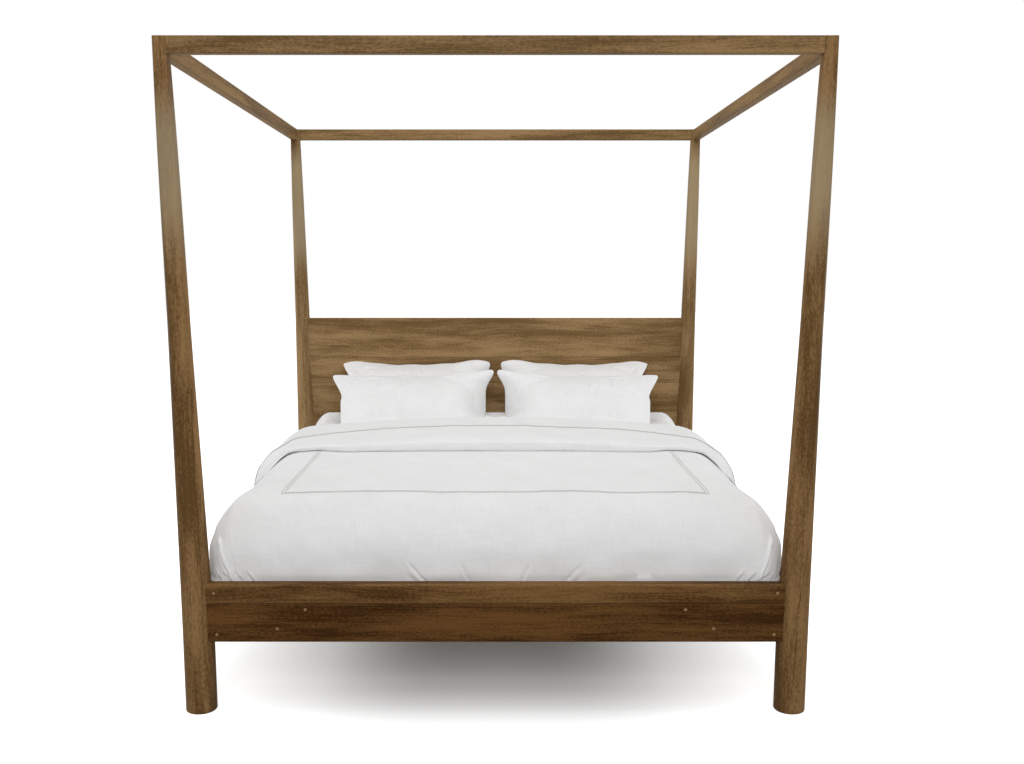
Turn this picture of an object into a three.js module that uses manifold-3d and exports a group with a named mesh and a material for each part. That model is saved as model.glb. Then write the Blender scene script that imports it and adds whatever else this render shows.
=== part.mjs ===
// Four-poster canopy bed for a 1930 x 2030 mm mattress, in millimetres.
// The origin is on the floor at the middle of the bed. X runs across, the foot end faces -Y, Z is up.
import * as THREE from 'three';
import { mergeVertices } from 'three/addons/utils/BufferGeometryUtils.js';
import Module from 'manifold-3d';

const wasm = await Module();
wasm.setup();

// Driving sizes: the mattress, the room round it and the height over the posts
const mattressWidth = 1930;
const mattressLength = 2030;
const mattressThickness = 320;
const mattressSideRoom = 15;
const mattressFootRoom = 13;
const mattressHeadRoom = 7;
const bedHeight = 2167;

// Clearances
const seatGap = 0.3;
const cutOverrun = 6;

// Posts: round at the foot, plumb on their outer sides, tapering on the inner sides to a square top
const postFootWidth = 102;
const postTopWidth = 41;
const postTaperStart = 300;
const postSquareLength = 127;
const postBlendLength = 890;
const postFootArris = 4;
const postTopArris = 1.5;
const postRoundShare = 0.97;
const postSquareShare = 0.18;
const postArcSteps = 7;
const postBlendSteps = 8;

// Boards of the head, foot and sides
const boardThickness = 42;
const boardSetback = 18;
const boardLetIn = 24;
const boardArris = 5;
const plankArris = 1.2;
const arrisSteps = 2;
const tenonThickness = 16;
const tenonLength = 20;
const tenonShoulder = 14;
const railBottomHeight = 247;
const sideRailHeight = 196;

// Footboard planks, from the bottom up
const footLowPlankHeight = 130;
const footTopPlankHeight = 66;

// Headboard planks, from the bottom up
const headHiddenPlankHeight = 213;
const headPillowPlankHeight = 200;
const headNarrowPlankHeight = 134;
const headTopPlankHeight = 205;

// Battens behind the headboard
const battenWidth = 90;
const battenThickness = 17;
const battenEndInset = 60;
const battenPlaceShare = 0.52;

// Canopy rails with their stub tenons
const canopyRailThickness = 34;
const canopyRailHeight = 52;
const canopyArris = 2.5;
const canopyTenonLength = 15;
const canopyTenonThickness = 14;
const canopyTenonShoulder = 9;

// Bed studs and flange nuts that hold the side rails
const studRadius = 4;
const studInPost = 35;
const studInset = 46;
const studTail = 6;
const nutHeight = 8;
const nutHexWidth = 13;
const nutFlangeRadius = 8.9;
const nutFlangeThickness = 1.6;
const pocketInset = 38;
const pocketLength = 14;
const pocketRadius = 15;
const pocketBackWall = 10;
const boltSteps = 6;
const pocketSteps = 2;

// Slatted base
const baseRise = 148;
const slatCount = 12;
const slatWidth = 100;
const slatThickness = 18;
const slatEndGap = 3;
const slatArris = 3;
const ledgerWidth = 25;
const ledgerHeight = 35;
const ledgerEndGap = 8;
const beamWidth = 45;
const beamHeight = 70;
const beamArris = 3;
const saddleWall = 16;
const saddleDepth = 42;
const saddleTopDrop = 8;
const legTopRadius = 26;
const legFootRadius = 17;
const legFootArris = 3;
const legSegments = 20;
const legPlace = 380;

// Mattress with its fitted sheet. Its shoulders are sharper at the head than at the tucked foot.
const mattressCornerRadius = 95;
const mattressFootShoulder = 175;
const mattressHeadShoulder = 102;
const mattressCrown = 2;
const mattressBottomArris = 24;
const shoulderPower = 1.4;
const shoulderFallShare = 0.97;
const shoulderSteps = 5;
const crownFlankShare = 0.75;
const endSteps = 6;

// Duvet, tucked in at the foot and sides, with its head end turned back in a thick fold
const duvetLoft = 30;
const duvetSideThickness = 9;
const duvetShoulderGrowth = 29;
const duvetCrown = 8;
const duvetTuckDepth = 14;
const duvetFreeRise = 12;
const foldThickness = 62;
const foldSideBulge = 28;
const foldLength = 650;
const foldFrontRun = 250;
const foldBackRun = 120;
const foldHang = 195;
const foldSteps = 5;

// Pillows with a flange all round. Both pairs lean at the same tilt, in degrees.
const rearPillowHalfWidth = 391;
const rearPillowHalfDepth = 240;
const frontPillowHalfWidth = 399;
const frontPillowHalfDepth = 211;
const pillowFlange = 58;
const pillowThickness = 128;
const pillowEdgeThickness = 7;
const pillowMiddleGap = 6;
const pillowTilt = 34;
const pillowSidePinchShare = 0.1;
const pillowSidePinchPower = 4;
const pillowTopPinchShare = 0.05;
const pillowTopPinchPower = 2;
const pillowRoundPower = 2.2;
const pillowFatPower = 0.55;
const pillowColumns = 12;
const pillowRows = 8;
const pillowFoldGap = 10;

// Worked-out places
const boardCentre = boardSetback + boardThickness / 2;
const boardInner = boardSetback + boardThickness;
const bedLength = mattressFootRoom + mattressLength + mattressHeadRoom + 2 * boardInner;
const halfWidth = mattressWidth / 2 + mattressSideRoom + boardInner;
const halfLength = bedLength / 2;
const postSquareFrom = bedHeight - postSquareLength;
const postRoundUpTo = postSquareFrom - postBlendLength;
const footboardTop = railBottomHeight + footLowPlankHeight + seatGap + footTopPlankHeight;
const sideRailTop = railBottomHeight + sideRailHeight;
const mattressBaseHeight = railBottomHeight + baseRise;
const slatTop = mattressBaseHeight - seatGap;
const slatBottom = slatTop - slatThickness;
const supportTop = slatBottom - seatGap;
const beamBottom = supportTop - beamHeight;
const headPlankHeights = [
  headHiddenPlankHeight,
  headHiddenPlankHeight,
  headPillowPlankHeight,
  headNarrowPlankHeight,
  headTopPlankHeight,
];
const headPlankStack = headPlankHeights.reduce((sum, height) => sum + height + seatGap, 0);
const headboardTop = railBottomHeight + headPlankStack - seatGap;
const mattressTop = mattressBaseHeight + mattressThickness;
const mattressFoot = boardInner + mattressFootRoom - halfLength;
const mattressHead = mattressFoot + mattressLength;
const duvetFoot = boardInner + seatGap - halfLength;
const duvetHem = footboardTop - duvetTuckDepth;
const duvetSide = mattressWidth / 2 + duvetSideThickness;

// Colours of the finishes
const materials = {
  wood: { color: 0x6b4a2c, roughness: 0.62, metalness: 0 },
  darkWood: { color: 0x55381f, roughness: 0.65, metalness: 0 },
  slatWood: { color: 0xc9a877, roughness: 0.7, metalness: 0 },
  steel: { color: 0xb4b5b8, roughness: 0.35, metalness: 1 },
  sheet: { color: 0xe9e8e6, roughness: 0.95, metalness: 0 },
  linen: { color: 0xf0efed, roughness: 0.95, metalness: 0 },
};

const bed = new THREE.Group();
bed.name = 'canopy_bed';

// Adds a named piece in its own material.
function addPiece(name, geometry, finish) {
  const mesh = new THREE.Mesh(geometry, new THREE.MeshStandardMaterial(materials[finish]));
  mesh.name = name;
  bed.add(mesh);
  return mesh;
}

// Turns a closed geometry into a solid that can be cut and joined.
function solidOf(geometry) {
  const bare = geometry.clone();
  bare.deleteAttribute('normal');
  bare.deleteAttribute('uv');
  const merged = mergeVertices(bare);
  const vertProperties = new Float32Array(merged.attributes.position.array);
  const triVerts = new Uint32Array(merged.index.array);
  return new wasm.Manifold(new wasm.Mesh({ numProp: 3, vertProperties, triVerts }));
}

// Turns a solid back into a geometry.
function geometryOf(solid) {
  const mesh = solid.getMesh();
  const geometry = new THREE.BufferGeometry();
  geometry.setAttribute('position', new THREE.BufferAttribute(new Float32Array(mesh.vertProperties), 3));
  geometry.setIndex(new THREE.BufferAttribute(new Uint32Array(mesh.triVerts), 1));
  geometry.computeVertexNormals();
  return geometry;
}

// Joins closed rings of equal length into a skin with a flat end at each side.
function loft(rings) {
  const count = rings[0].length;
  const positions = rings.flat().flatMap((point) => [point.x, point.y, point.z]);
  const indices = [];
  for (let level = 0; level < rings.length - 1; level += 1) {
    for (let place = 0; place < count; place += 1) {
      const next = (place + 1) % count;
      const low = level * count;
      const high = low + count;
      indices.push(low + place, low + next, high + next);
      indices.push(low + place, high + next, high + place);
    }
  }
  [rings[0], rings[rings.length - 1]].forEach((ring, end) => {
    const centre = ring.reduce((sum, point) => sum.add(point), new THREE.Vector3()).divideScalar(count);
    const hub = positions.length / 3;
    positions.push(centre.x, centre.y, centre.z);
    const first = end === 0 ? 0 : (rings.length - 1) * count;
    for (let place = 0; place < count; place += 1) {
      const next = (place + 1) % count;
      indices.push(...(end === 0 ? [hub, first + next, first + place] : [hub, first + place, first + next]));
    }
  });
  const geometry = new THREE.BufferGeometry();
  geometry.setAttribute('position', new THREE.Float32BufferAttribute(positions, 3));
  geometry.setIndex(indices);
  geometry.computeVertexNormals();
  return geometry;
}

// A box between two corners.
function boxBetween(low, high) {
  const geometry = new THREE.BoxGeometry(high[0] - low[0], high[1] - low[1], high[2] - low[2]);
  geometry.translate((low[0] + high[0]) / 2, (low[1] + high[1]) / 2, (low[2] + high[2]) / 2);
  return geometry;
}

// A bar of rounded section, width across and height up, run along +Z from 0 and centred on the axis.
function roundedBar(width, height, length, arris) {
  const radius = Math.min(arris, width / 2, height / 2);
  const x = width / 2 - radius;
  const y = height / 2 - radius;
  const shape = new THREE.Shape();
  shape.absarc(x, y, radius, 0, Math.PI / 2, false);
  shape.absarc(-x, y, radius, Math.PI / 2, Math.PI, false);
  shape.absarc(-x, -y, radius, Math.PI, 1.5 * Math.PI, false);
  shape.absarc(x, -y, radius, 1.5 * Math.PI, 2 * Math.PI, false);
  return new THREE.ExtrudeGeometry(shape, { depth: length, bevelEnabled: false, curveSegments: arrisSteps });
}

// The same bar lying along X, from -length / 2 to length / 2, with height along Z.
function barAlongX(depth, height, length, arris) {
  const geometry = roundedBar(height, depth, length, arris);
  geometry.translate(0, 0, -length / 2);
  geometry.rotateY(Math.PI / 2);
  return geometry;
}

// The same bar lying along Y.
function barAlongY(width, height, length, arris) {
  const geometry = roundedBar(width, height, length, arris);
  geometry.translate(0, 0, -length / 2);
  geometry.rotateX(Math.PI / 2);
  return geometry;
}

// Eases from 0 to 1 between two heights.
function easedShare(value, from, to) {
  return THREE.MathUtils.smoothstep(value, from, to);
}

// Width of a post at a height.
function postWidthAt(height) {
  const share = THREE.MathUtils.clamp((height - postTaperStart) / (bedHeight - postTaperStart), 0, 1);
  return THREE.MathUtils.lerp(postFootWidth, postTopWidth, share);
}

// How far from a post's outer face a board ends, at a height.
function boardEndAt(height) {
  return postWidthAt(height) - boardLetIn;
}

// One rounded-square section of a post, set into its corner of the bed.
function postRing(sideX, sideY, height, inset) {
  const half = postWidthAt(height) / 2;
  const squared = easedShare(height, postRoundUpTo, postSquareFrom);
  const radius = half * THREE.MathUtils.lerp(postRoundShare, postSquareShare, squared) - inset / 2;
  const flat = half - inset - radius;
  const centreX = sideX * (halfWidth - half);
  const centreY = sideY * (halfLength - half);
  const ring = [];
  for (let quarter = 0; quarter < 4; quarter += 1) {
    const middle = (quarter + 0.5) * (Math.PI / 2);
    for (let step = 0; step <= postArcSteps; step += 1) {
      const angle = (quarter + step / postArcSteps) * (Math.PI / 2);
      const x = centreX + Math.sign(Math.cos(middle)) * flat + radius * Math.cos(angle);
      const y = centreY + Math.sign(Math.sin(middle)) * flat + radius * Math.sin(angle);
      ring.push(new THREE.Vector3(x, y, height));
    }
  }
  return ring;
}

// The turned and tapered blank of a post, before its joints are cut.
function postBlank(sideX, sideY) {
  const rings = [
    postRing(sideX, sideY, 0, postFootArris),
    postRing(sideX, sideY, postFootArris, 0),
    postRing(sideX, sideY, postTaperStart, 0),
  ];
  for (let step = 0; step <= postBlendSteps; step += 1) {
    const height = THREE.MathUtils.lerp(postRoundUpTo, postSquareFrom, step / postBlendSteps);
    rings.push(postRing(sideX, sideY, height, 0));
  }
  rings.push(postRing(sideX, sideY, bedHeight - postTopArris, 0));
  rings.push(postRing(sideX, sideY, bedHeight, postTopArris));
  return solidOf(loft(rings));
}

// Heights at which a board's end line bends, from its bottom to its top.
function endLineHeights(bottom, top) {
  const bends = postTaperStart > bottom && postTaperStart < top ? [postTaperStart] : [];
  return [bottom, ...bends, top];
}

// The face outline of a board between two posts: its ends follow the posts' taper.
function boardOutline(span, bottom, top, reach) {
  const heights = endLineHeights(bottom, top);
  const endOn = (sign) => (height) => new THREE.Vector2(sign * (span - boardEndAt(height) + reach), height);
  return new THREE.Shape([...heights.map(endOn(1)), ...heights.reverse().map(endOn(-1))]);
}

// Stands a face outline up and gives it thickness between two places along Y.
function slabAcross(shape, near, far) {
  const geometry = new THREE.ExtrudeGeometry(shape, { depth: far - near, bevelEnabled: false });
  geometry.rotateX(Math.PI / 2);
  geometry.translate(0, far, 0);
  return geometry;
}

// Turns a solid that spans the bed's width so that it runs along the left or right side.
function turnedToSide(geometry) {
  return geometry.rotateZ(Math.PI / 2);
}

// A tenoned board on the foot or head line, centred across a span. Its middle plane is at y = 0.
function tenonedBoard(span, bottom, top, arris) {
  const half = boardThickness / 2;
  const slab = solidOf(slabAcross(boardOutline(span, bottom, top, 0), -half, half));
  const bar = barAlongX(boardThickness, top - bottom, 2 * span, arris);
  bar.translate(0, 0, (bottom + top) / 2);
  const body = slab.intersect(solidOf(bar));
  const outline = boardOutline(span, bottom + tenonShoulder, top - tenonShoulder, tenonLength);
  const tenon = solidOf(slabAcross(outline, -tenonThickness / 2, tenonThickness / 2));
  return body.add(tenon);
}

// The hollow that takes a tenoned board's end, with its clearance, in the same place as the board.
function boardSocket(span, bottom, top) {
  const half = boardThickness / 2 + seatGap;
  const outline = boardOutline(span, bottom - seatGap, top + seatGap, seatGap);
  return solidOf(slabAcross(outline, -half, half));
}

// The hollow that takes a board's tenons.
function tenonSocket(span, bottom, top) {
  const half = tenonThickness / 2 + seatGap;
  const low = bottom + tenonShoulder - seatGap;
  const high = top - tenonShoulder + seatGap;
  return solidOf(slabAcross(boardOutline(span, low, high, tenonLength + seatGap), -half, half));
}

// Bottoms and tops of the headboard planks.
function headPlanks() {
  let bottom = railBottomHeight;
  return headPlankHeights.map((height) => {
    const plank = { bottom, top: bottom + height };
    bottom = plank.top + seatGap;
    return plank;
  });
}

// Bottoms and tops of the footboard planks.
function footPlanks() {
  const split = railBottomHeight + footLowPlankHeight;
  return [
    { bottom: railBottomHeight, top: split },
    { bottom: split + seatGap, top: footboardTop },
  ];
}

// Heights of the two studs in each end of a side rail.
const studHeights = [railBottomHeight + studInset, sideRailTop - studInset];

// Distance from the post's outer face to the end of a stud inside the rail.
function studTip(height) {
  return boardEndAt(height) + pocketInset + seatGap + nutHeight + studTail;
}

// A round bar along Y at a corner, between two distances from the post's outer face.
function cornerRod(sideX, sideY, height, radius, outer, inner) {
  const rod = new THREE.CylinderGeometry(radius, radius, inner - outer, 2 * boltSteps);
  rod.translate(sideX * (halfWidth - boardCentre), sideY * (halfLength - (outer + inner) / 2), height);
  return rod;
}

// The half-round pocket in a side rail's inner face that gives room for a nut.
function nutPocket(sideX, sideY, height) {
  const shape = new THREE.Shape();
  shape.moveTo(0, -pocketRadius);
  shape.lineTo(pocketLength, -pocketRadius);
  shape.absarc(pocketLength, 0, pocketRadius, -Math.PI / 2, Math.PI / 2, false);
  shape.lineTo(0, pocketRadius);
  const depth = boardThickness - pocketBackWall + cutOverrun;
  const settings = { depth, bevelEnabled: false, curveSegments: pocketSteps };
  const pocket = new THREE.ExtrudeGeometry(shape, settings);
  pocket.rotateX(Math.PI / 2);
  pocket.rotateZ(Math.PI / 2);
  pocket.rotateZ(sideY > 0 ? Math.PI : 0);
  const face = boardEndAt(height) + pocketInset;
  const box = new THREE.Box3().setFromBufferAttribute(pocket.attributes.position);
  const inside = halfWidth - boardInner - cutOverrun;
  const shift = sideX > 0 ? inside - box.min.x : -inside - box.max.x;
  pocket.translate(shift, sideY * (halfLength - face), height);
  return pocket;
}

// A hexagon nut with a washer flange, its bearing face at z = 0.
function flangeNut() {
  const hole = new THREE.Path().absarc(0, 0, studRadius + seatGap, 0, 2 * Math.PI, true);
  const corner = nutHexWidth / Math.sqrt(3);
  const hexagon = new THREE.Shape();
  for (let side = 0; side < 6; side += 1) {
    const angle = (side * Math.PI) / 3;
    const point = [corner * Math.cos(angle), corner * Math.sin(angle)];
    if (side === 0) {
      hexagon.moveTo(...point);
    } else {
      hexagon.lineTo(...point);
    }
  }
  hexagon.holes.push(hole);
  const disc = new THREE.Shape().absarc(0, 0, nutFlangeRadius, 0, 2 * Math.PI, false);
  disc.holes.push(hole);
  const settings = { bevelEnabled: false, curveSegments: boltSteps };
  const body = solidOf(new THREE.ExtrudeGeometry(hexagon, { ...settings, depth: nutHeight }));
  const flange = solidOf(new THREE.ExtrudeGeometry(disc, { ...settings, depth: nutFlangeThickness }));
  return geometryOf(body.add(flange));
}

// Outline of a canopy rail: square shoulders cut to the slope of the posts' inner faces.
function canopyOutline(span, bottom, top, reach) {
  const endAt = (height) => span - postWidthAt(height) - seatGap + reach;
  return new THREE.Shape([
    new THREE.Vector2(endAt(bottom), bottom),
    new THREE.Vector2(endAt(top), top),
    new THREE.Vector2(-endAt(top), top),
    new THREE.Vector2(-endAt(bottom), bottom),
  ]);
}

// A canopy rail with a stub tenon at each end, its middle plane at y = 0.
function canopyRail(span) {
  const bottom = bedHeight - canopyRailHeight;
  const half = canopyRailThickness / 2;
  const slab = solidOf(slabAcross(canopyOutline(span, bottom, bedHeight, 0), -half, half));
  const bar = barAlongX(canopyRailThickness, canopyRailHeight, 2 * span, canopyArris);
  bar.translate(0, 0, bedHeight - canopyRailHeight / 2);
  return slab.intersect(solidOf(bar)).add(canopyTenon(span, 0));
}

// The tenons of a canopy rail, or with a clearance the mortises that take them.
function canopyTenon(span, clearance) {
  const low = bedHeight - canopyRailHeight + canopyTenonShoulder - clearance;
  const high = bedHeight - canopyTenonShoulder + clearance;
  const half = canopyTenonThickness / 2 + clearance;
  return solidOf(slabAcross(canopyOutline(span, low, high, canopyTenonLength + clearance), -half, half));
}

// Moves or turns a solid by way of its geometry.
function placed(solid, change) {
  const geometry = geometryOf(solid);
  change(geometry);
  return solidOf(geometry);
}

// Every hollow that the posts need, as one list of solids for the whole bed.
function postHollows() {
  const hollows = [];
  const boardLine = halfLength - boardCentre;
  const sideLine = halfWidth - boardCentre;
  const headSocket = boardSocket(halfWidth, railBottomHeight, headboardTop);
  const footSocket = boardSocket(halfWidth, railBottomHeight, footboardTop);
  const headMortises = headPlanks().map((plank) => tenonSocket(halfWidth, plank.bottom, plank.top));
  const footMortises = footPlanks().map((plank) => tenonSocket(halfWidth, plank.bottom, plank.top));
  [headSocket, ...headMortises].forEach((solid) => {
    hollows.push(placed(solid, (geometry) => geometry.translate(0, boardLine, 0)));
  });
  [footSocket, ...footMortises].forEach((solid) => {
    hollows.push(placed(solid, (geometry) => geometry.translate(0, -boardLine, 0)));
  });
  const railSocket = boardSocket(halfLength, railBottomHeight, sideRailTop);
  const canopyLine = canopyRailThickness / 2;
  [-1, 1].forEach((side) => {
    hollows.push(placed(railSocket, (geometry) => turnedToSide(geometry).translate(side * sideLine, 0, 0)));
    const across = canopyTenon(halfWidth, seatGap);
    hollows.push(placed(across, (geometry) => geometry.translate(0, side * (halfLength - canopyLine), 0)));
    const along = canopyTenon(halfLength, seatGap);
    const place = side * (halfWidth - canopyLine);
    hollows.push(placed(along, (geometry) => turnedToSide(geometry).translate(place, 0, 0)));
  });
  return hollows;
}

const sides = [
  { name: 'left', sign: -1 },
  { name: 'right', sign: 1 },
];
const ends = [
  { name: 'foot', sign: -1 },
  { name: 'head', sign: 1 },
];

// The four posts, with sockets, mortises and stud holes.
function addPosts() {
  const hollows = postHollows();
  ends.forEach((end) => {
    sides.forEach((side) => {
      let post = postBlank(side.sign, end.sign);
      hollows.forEach((hollow) => {
        post = post.subtract(hollow);
      });
      studHeights.forEach((height) => {
        const outer = boardEndAt(height) - studInPost - seatGap;
        const inner = boardEndAt(height) + cutOverrun;
        post = post.subtract(
          solidOf(cornerRod(side.sign, end.sign, height, studRadius + seatGap, outer, inner)),
        );
      });
      addPiece(`post_${end.name}_${side.name}`, geometryOf(post), 'wood');
    });
  });
}

// The canopy frame between the post tops.
function addCanopyRails() {
  const line = canopyRailThickness / 2;
  ends.forEach((end) => {
    const rail = geometryOf(canopyRail(halfWidth));
    rail.translate(0, end.sign * (halfLength - line), 0);
    addPiece(`canopy_rail_${end.name}`, rail, 'wood');
  });
  sides.forEach((side) => {
    const rail = turnedToSide(geometryOf(canopyRail(halfLength)));
    rail.translate(side.sign * (halfWidth - line), 0, 0);
    addPiece(`canopy_rail_${side.name}`, rail, 'wood');
  });
}

// Headboard and footboard planks. The outer long edges of each stack have the larger arris.
function addBoards() {
  const line = halfLength - boardCentre;
  headPlanks().forEach((plank, place) => {
    const arris = place === headPlankHeights.length - 1 ? boardArris : plankArris;
    const board = geometryOf(tenonedBoard(halfWidth, plank.bottom, plank.top, arris));
    board.translate(0, line, 0);
    addPiece(`headboard_plank_${place + 1}`, board, 'wood');
  });
  footPlanks().forEach((plank, place) => {
    const arris = place === 1 ? boardArris : plankArris;
    const board = geometryOf(tenonedBoard(halfWidth, plank.bottom, plank.top, arris));
    board.translate(0, -line, 0);
    addPiece(`footboard_plank_${place + 1}`, board, 'darkWood');
  });
  const front = halfLength - boardSetback + seatGap;
  sides.forEach((side) => {
    const middle = side.sign * battenPlaceShare * halfWidth;
    const batten = boxBetween(
      [middle - battenWidth / 2, front, railBottomHeight + battenEndInset],
      [middle + battenWidth / 2, front + battenThickness, headboardTop - battenEndInset],
    );
    addPiece(`headboard_batten_${side.name}`, batten, 'wood');
  });
}

// Side rails, bored and pocketed for their studs and nuts.
function addSideRails() {
  sides.forEach((side) => {
    const slab = slabAcross(
      boardOutline(halfLength, railBottomHeight, sideRailTop, 0),
      -boardThickness / 2,
      boardThickness / 2,
    );
    const bar = barAlongX(boardThickness, sideRailHeight, bedLength, boardArris);
    bar.translate(0, 0, railBottomHeight + sideRailHeight / 2);
    const blank = solidOf(slab).intersect(solidOf(bar));
    let rail = placed(blank, (geometry) => {
      turnedToSide(geometry).translate(side.sign * (halfWidth - boardCentre), 0, 0);
    });
    ends.forEach((end) => {
      studHeights.forEach((height) => {
        const outer = boardEndAt(height) - cutOverrun;
        const tip = studTip(height) + seatGap;
        const bore = cornerRod(side.sign, end.sign, height, studRadius + seatGap, outer, tip);
        rail = rail.subtract(solidOf(bore)).subtract(solidOf(nutPocket(side.sign, end.sign, height)));
      });
    });
    addPiece(`side_rail_${side.name}`, geometryOf(rail), 'darkWood');
  });
}

// The studs with their flange nuts.
function addStuds() {
  const nut = flangeNut();
  ends.forEach((end) => {
    sides.forEach((side) => {
      studHeights.forEach((height, place) => {
        const label = `${end.name}_${side.name}_${place + 1}`;
        const outer = boardEndAt(height) - studInPost;
        const rod = cornerRod(side.sign, end.sign, height, studRadius, outer, studTip(height));
        addPiece(`bed_stud_${label}`, rod, 'steel');
        const turned = nut.clone();
        turned.rotateX(end.sign > 0 ? Math.PI / 2 : -Math.PI / 2);
        const face = boardEndAt(height) + pocketInset + seatGap;
        turned.translate(side.sign * (halfWidth - boardCentre), end.sign * (halfLength - face), height);
        addPiece(`bed_nut_${label}`, turned, 'steel');
      });
    });
  });
}

// Ledgers, centre beam, saddles, legs and slats.
function addBase() {
  const railFace = halfWidth - boardInner;
  const boardFace = halfLength - boardInner;
  const reach = halfLength - postFootWidth - ledgerEndGap;
  sides.forEach((side) => {
    const ledger = barAlongY(ledgerWidth, ledgerHeight, 2 * reach, slatArris);
    const place = side.sign * (railFace - seatGap - ledgerWidth / 2);
    ledger.translate(place, 0, supportTop - ledgerHeight / 2);
    addPiece(`ledger_${side.name}`, ledger, 'slatWood');
  });
  const beam = barAlongY(beamWidth, beamHeight, 2 * (boardFace - seatGap), beamArris);
  beam.translate(0, 0, supportTop - beamHeight / 2);
  addPiece('centre_beam', beam, 'slatWood');
  ends.forEach((end) => {
    addPiece(`beam_saddle_${end.name}`, saddle(end.sign), 'slatWood');
    addPiece(`centre_leg_${end.name}`, centreLeg(end.sign), 'slatWood');
  });
  const pitch = (2 * reach - slatWidth) / (slatCount - 1);
  for (let place = 0; place < slatCount; place += 1) {
    const slat = barAlongX(slatWidth, slatThickness, 2 * (railFace - slatEndGap), slatArris);
    slat.translate(0, -reach + slatWidth / 2 + place * pitch, slatTop - slatThickness / 2);
    addPiece(`slat_${String(place + 1).padStart(2, '0')}`, slat, 'slatWood');
  }
}

// A U-shaped block on the foot or head board that carries the centre beam's end.
function saddle(sign) {
  const boardFace = halfLength - boardInner - seatGap;
  const inner = beamWidth / 2 + seatGap;
  const outer = inner + saddleWall;
  const near = boardFace - saddleDepth;
  const block = boxBetween(
    [-outer, near, beamBottom - seatGap - saddleWall],
    [outer, boardFace, supportTop - saddleTopDrop],
  );
  const slot = boxBetween(
    [-inner, near - cutOverrun, beamBottom - seatGap],
    [inner, boardFace + cutOverrun, supportTop + cutOverrun],
  );
  const geometry = geometryOf(solidOf(block).subtract(solidOf(slot)));
  return geometry.rotateZ(sign > 0 ? 0 : Math.PI);
}

// A turned leg under the centre beam.
function centreLeg(sign) {
  const height = beamBottom - seatGap;
  const profile = [
    new THREE.Vector2(0, 0),
    new THREE.Vector2(legFootRadius - legFootArris, 0),
    new THREE.Vector2(legFootRadius, legFootArris),
    new THREE.Vector2(legTopRadius, height),
    new THREE.Vector2(0, height),
  ];
  const leg = new THREE.LatheGeometry(profile, legSegments);
  leg.rotateX(Math.PI / 2);
  leg.translate(0, sign * legPlace, 0);
  return leg;
}

// How far a shoulder lies below the top, at a distance in from the outer side. A superellipse.
function shoulderDrop(distance, reach) {
  const share = THREE.MathUtils.clamp(1 - distance / reach, 0, 1);
  return reach * (1 - (1 - share ** shoulderPower) ** (1 / shoulderPower));
}

// How far a rounded corner seen from above draws a side in, at a distance from the end.
function cornerInset(distance, radius) {
  const left = Math.max(radius - distance, 0);
  return radius - Math.sqrt(radius ** 2 - left ** 2);
}

// Reach of the mattress's shoulder at a place along the bed.
function mattressShoulderAt(place) {
  const share = (place - mattressFoot) / mattressLength;
  return THREE.MathUtils.lerp(mattressFootShoulder, mattressHeadShoulder, share);
}

// One upright section of a soft block, symmetric about the bed's middle plane.
function softRing(section) {
  const { place, side, top, shoulder, crown } = section;
  const drop = Math.min(section.drop, shoulderFallShare * shoulder);
  const flatShare = (1 - (1 - drop / shoulder) ** shoulderPower) ** (1 / shoulderPower);
  const flat = side - shoulder * (1 - flatShare);
  const half = [
    [0, top - drop + crown],
    [flat / 2, top - drop + crownFlankShare * crown],
  ];
  for (let step = 0; step <= shoulderSteps; step += 1) {
    const share = Math.sin((step / shoulderSteps) * (Math.PI / 2));
    const x = THREE.MathUtils.lerp(flat, side, share);
    half.push([x, top - shoulderDrop(side - x, shoulder)]);
  }
  half.push(...section.lowerSide);
  const right = half.map(([x, z]) => new THREE.Vector3(x, place, z));
  const left = half.slice(1).reverse().map(([x, z]) => new THREE.Vector3(-x, place, z));
  return [...right, ...left];
}

// Distances from a rounded end at which sections are set, closer together near the end.
function endDistances(reach, steps) {
  const distanceAt = (_, step) => reach * (1 - Math.cos((step / steps) * (Math.PI / 2)));
  return Array.from({ length: steps + 1 }, distanceAt);
}

// The mattress, or with a clearance the hollow that it fills in the duvet.
function mattressBlock(clearance) {
  const foot = mattressFoot - clearance;
  const head = mattressHead + clearance;
  const places = [
    ...endDistances(mattressFootShoulder, endSteps).map((distance) => foot + distance),
    ...endDistances(mattressHeadShoulder, endSteps).map((distance) => head - distance).reverse(),
  ];
  return loft(places.map((place) => {
    const fromEnd = Math.min(place - foot, head - place);
    const shoulder = mattressShoulderAt(place);
    const side = mattressWidth / 2 + clearance - cornerInset(fromEnd, mattressCornerRadius);
    const bottom = mattressBaseHeight - clearance;
    return softRing({
      place,
      side,
      shoulder,
      top: mattressTop + clearance,
      drop: shoulderDrop(fromEnd, shoulder),
      crown: mattressCrown,
      lowerSide: [
        [side, bottom + mattressBottomArris],
        [side - mattressBottomArris, bottom],
      ],
    });
  }));
}

// How much the turned-back fold adds to the duvet's top, as a share, at a place along the bed.
function foldShare(place, foldEnd) {
  const front = THREE.MathUtils.clamp((place - foldEnd + foldLength) / foldFrontRun, 0, 1);
  const back = THREE.MathUtils.clamp((foldEnd - place) / foldBackRun, 0, 1);
  return Math.sqrt(1 - (1 - front) ** 2) * Math.sqrt(1 - (1 - back) ** 2);
}

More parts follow.
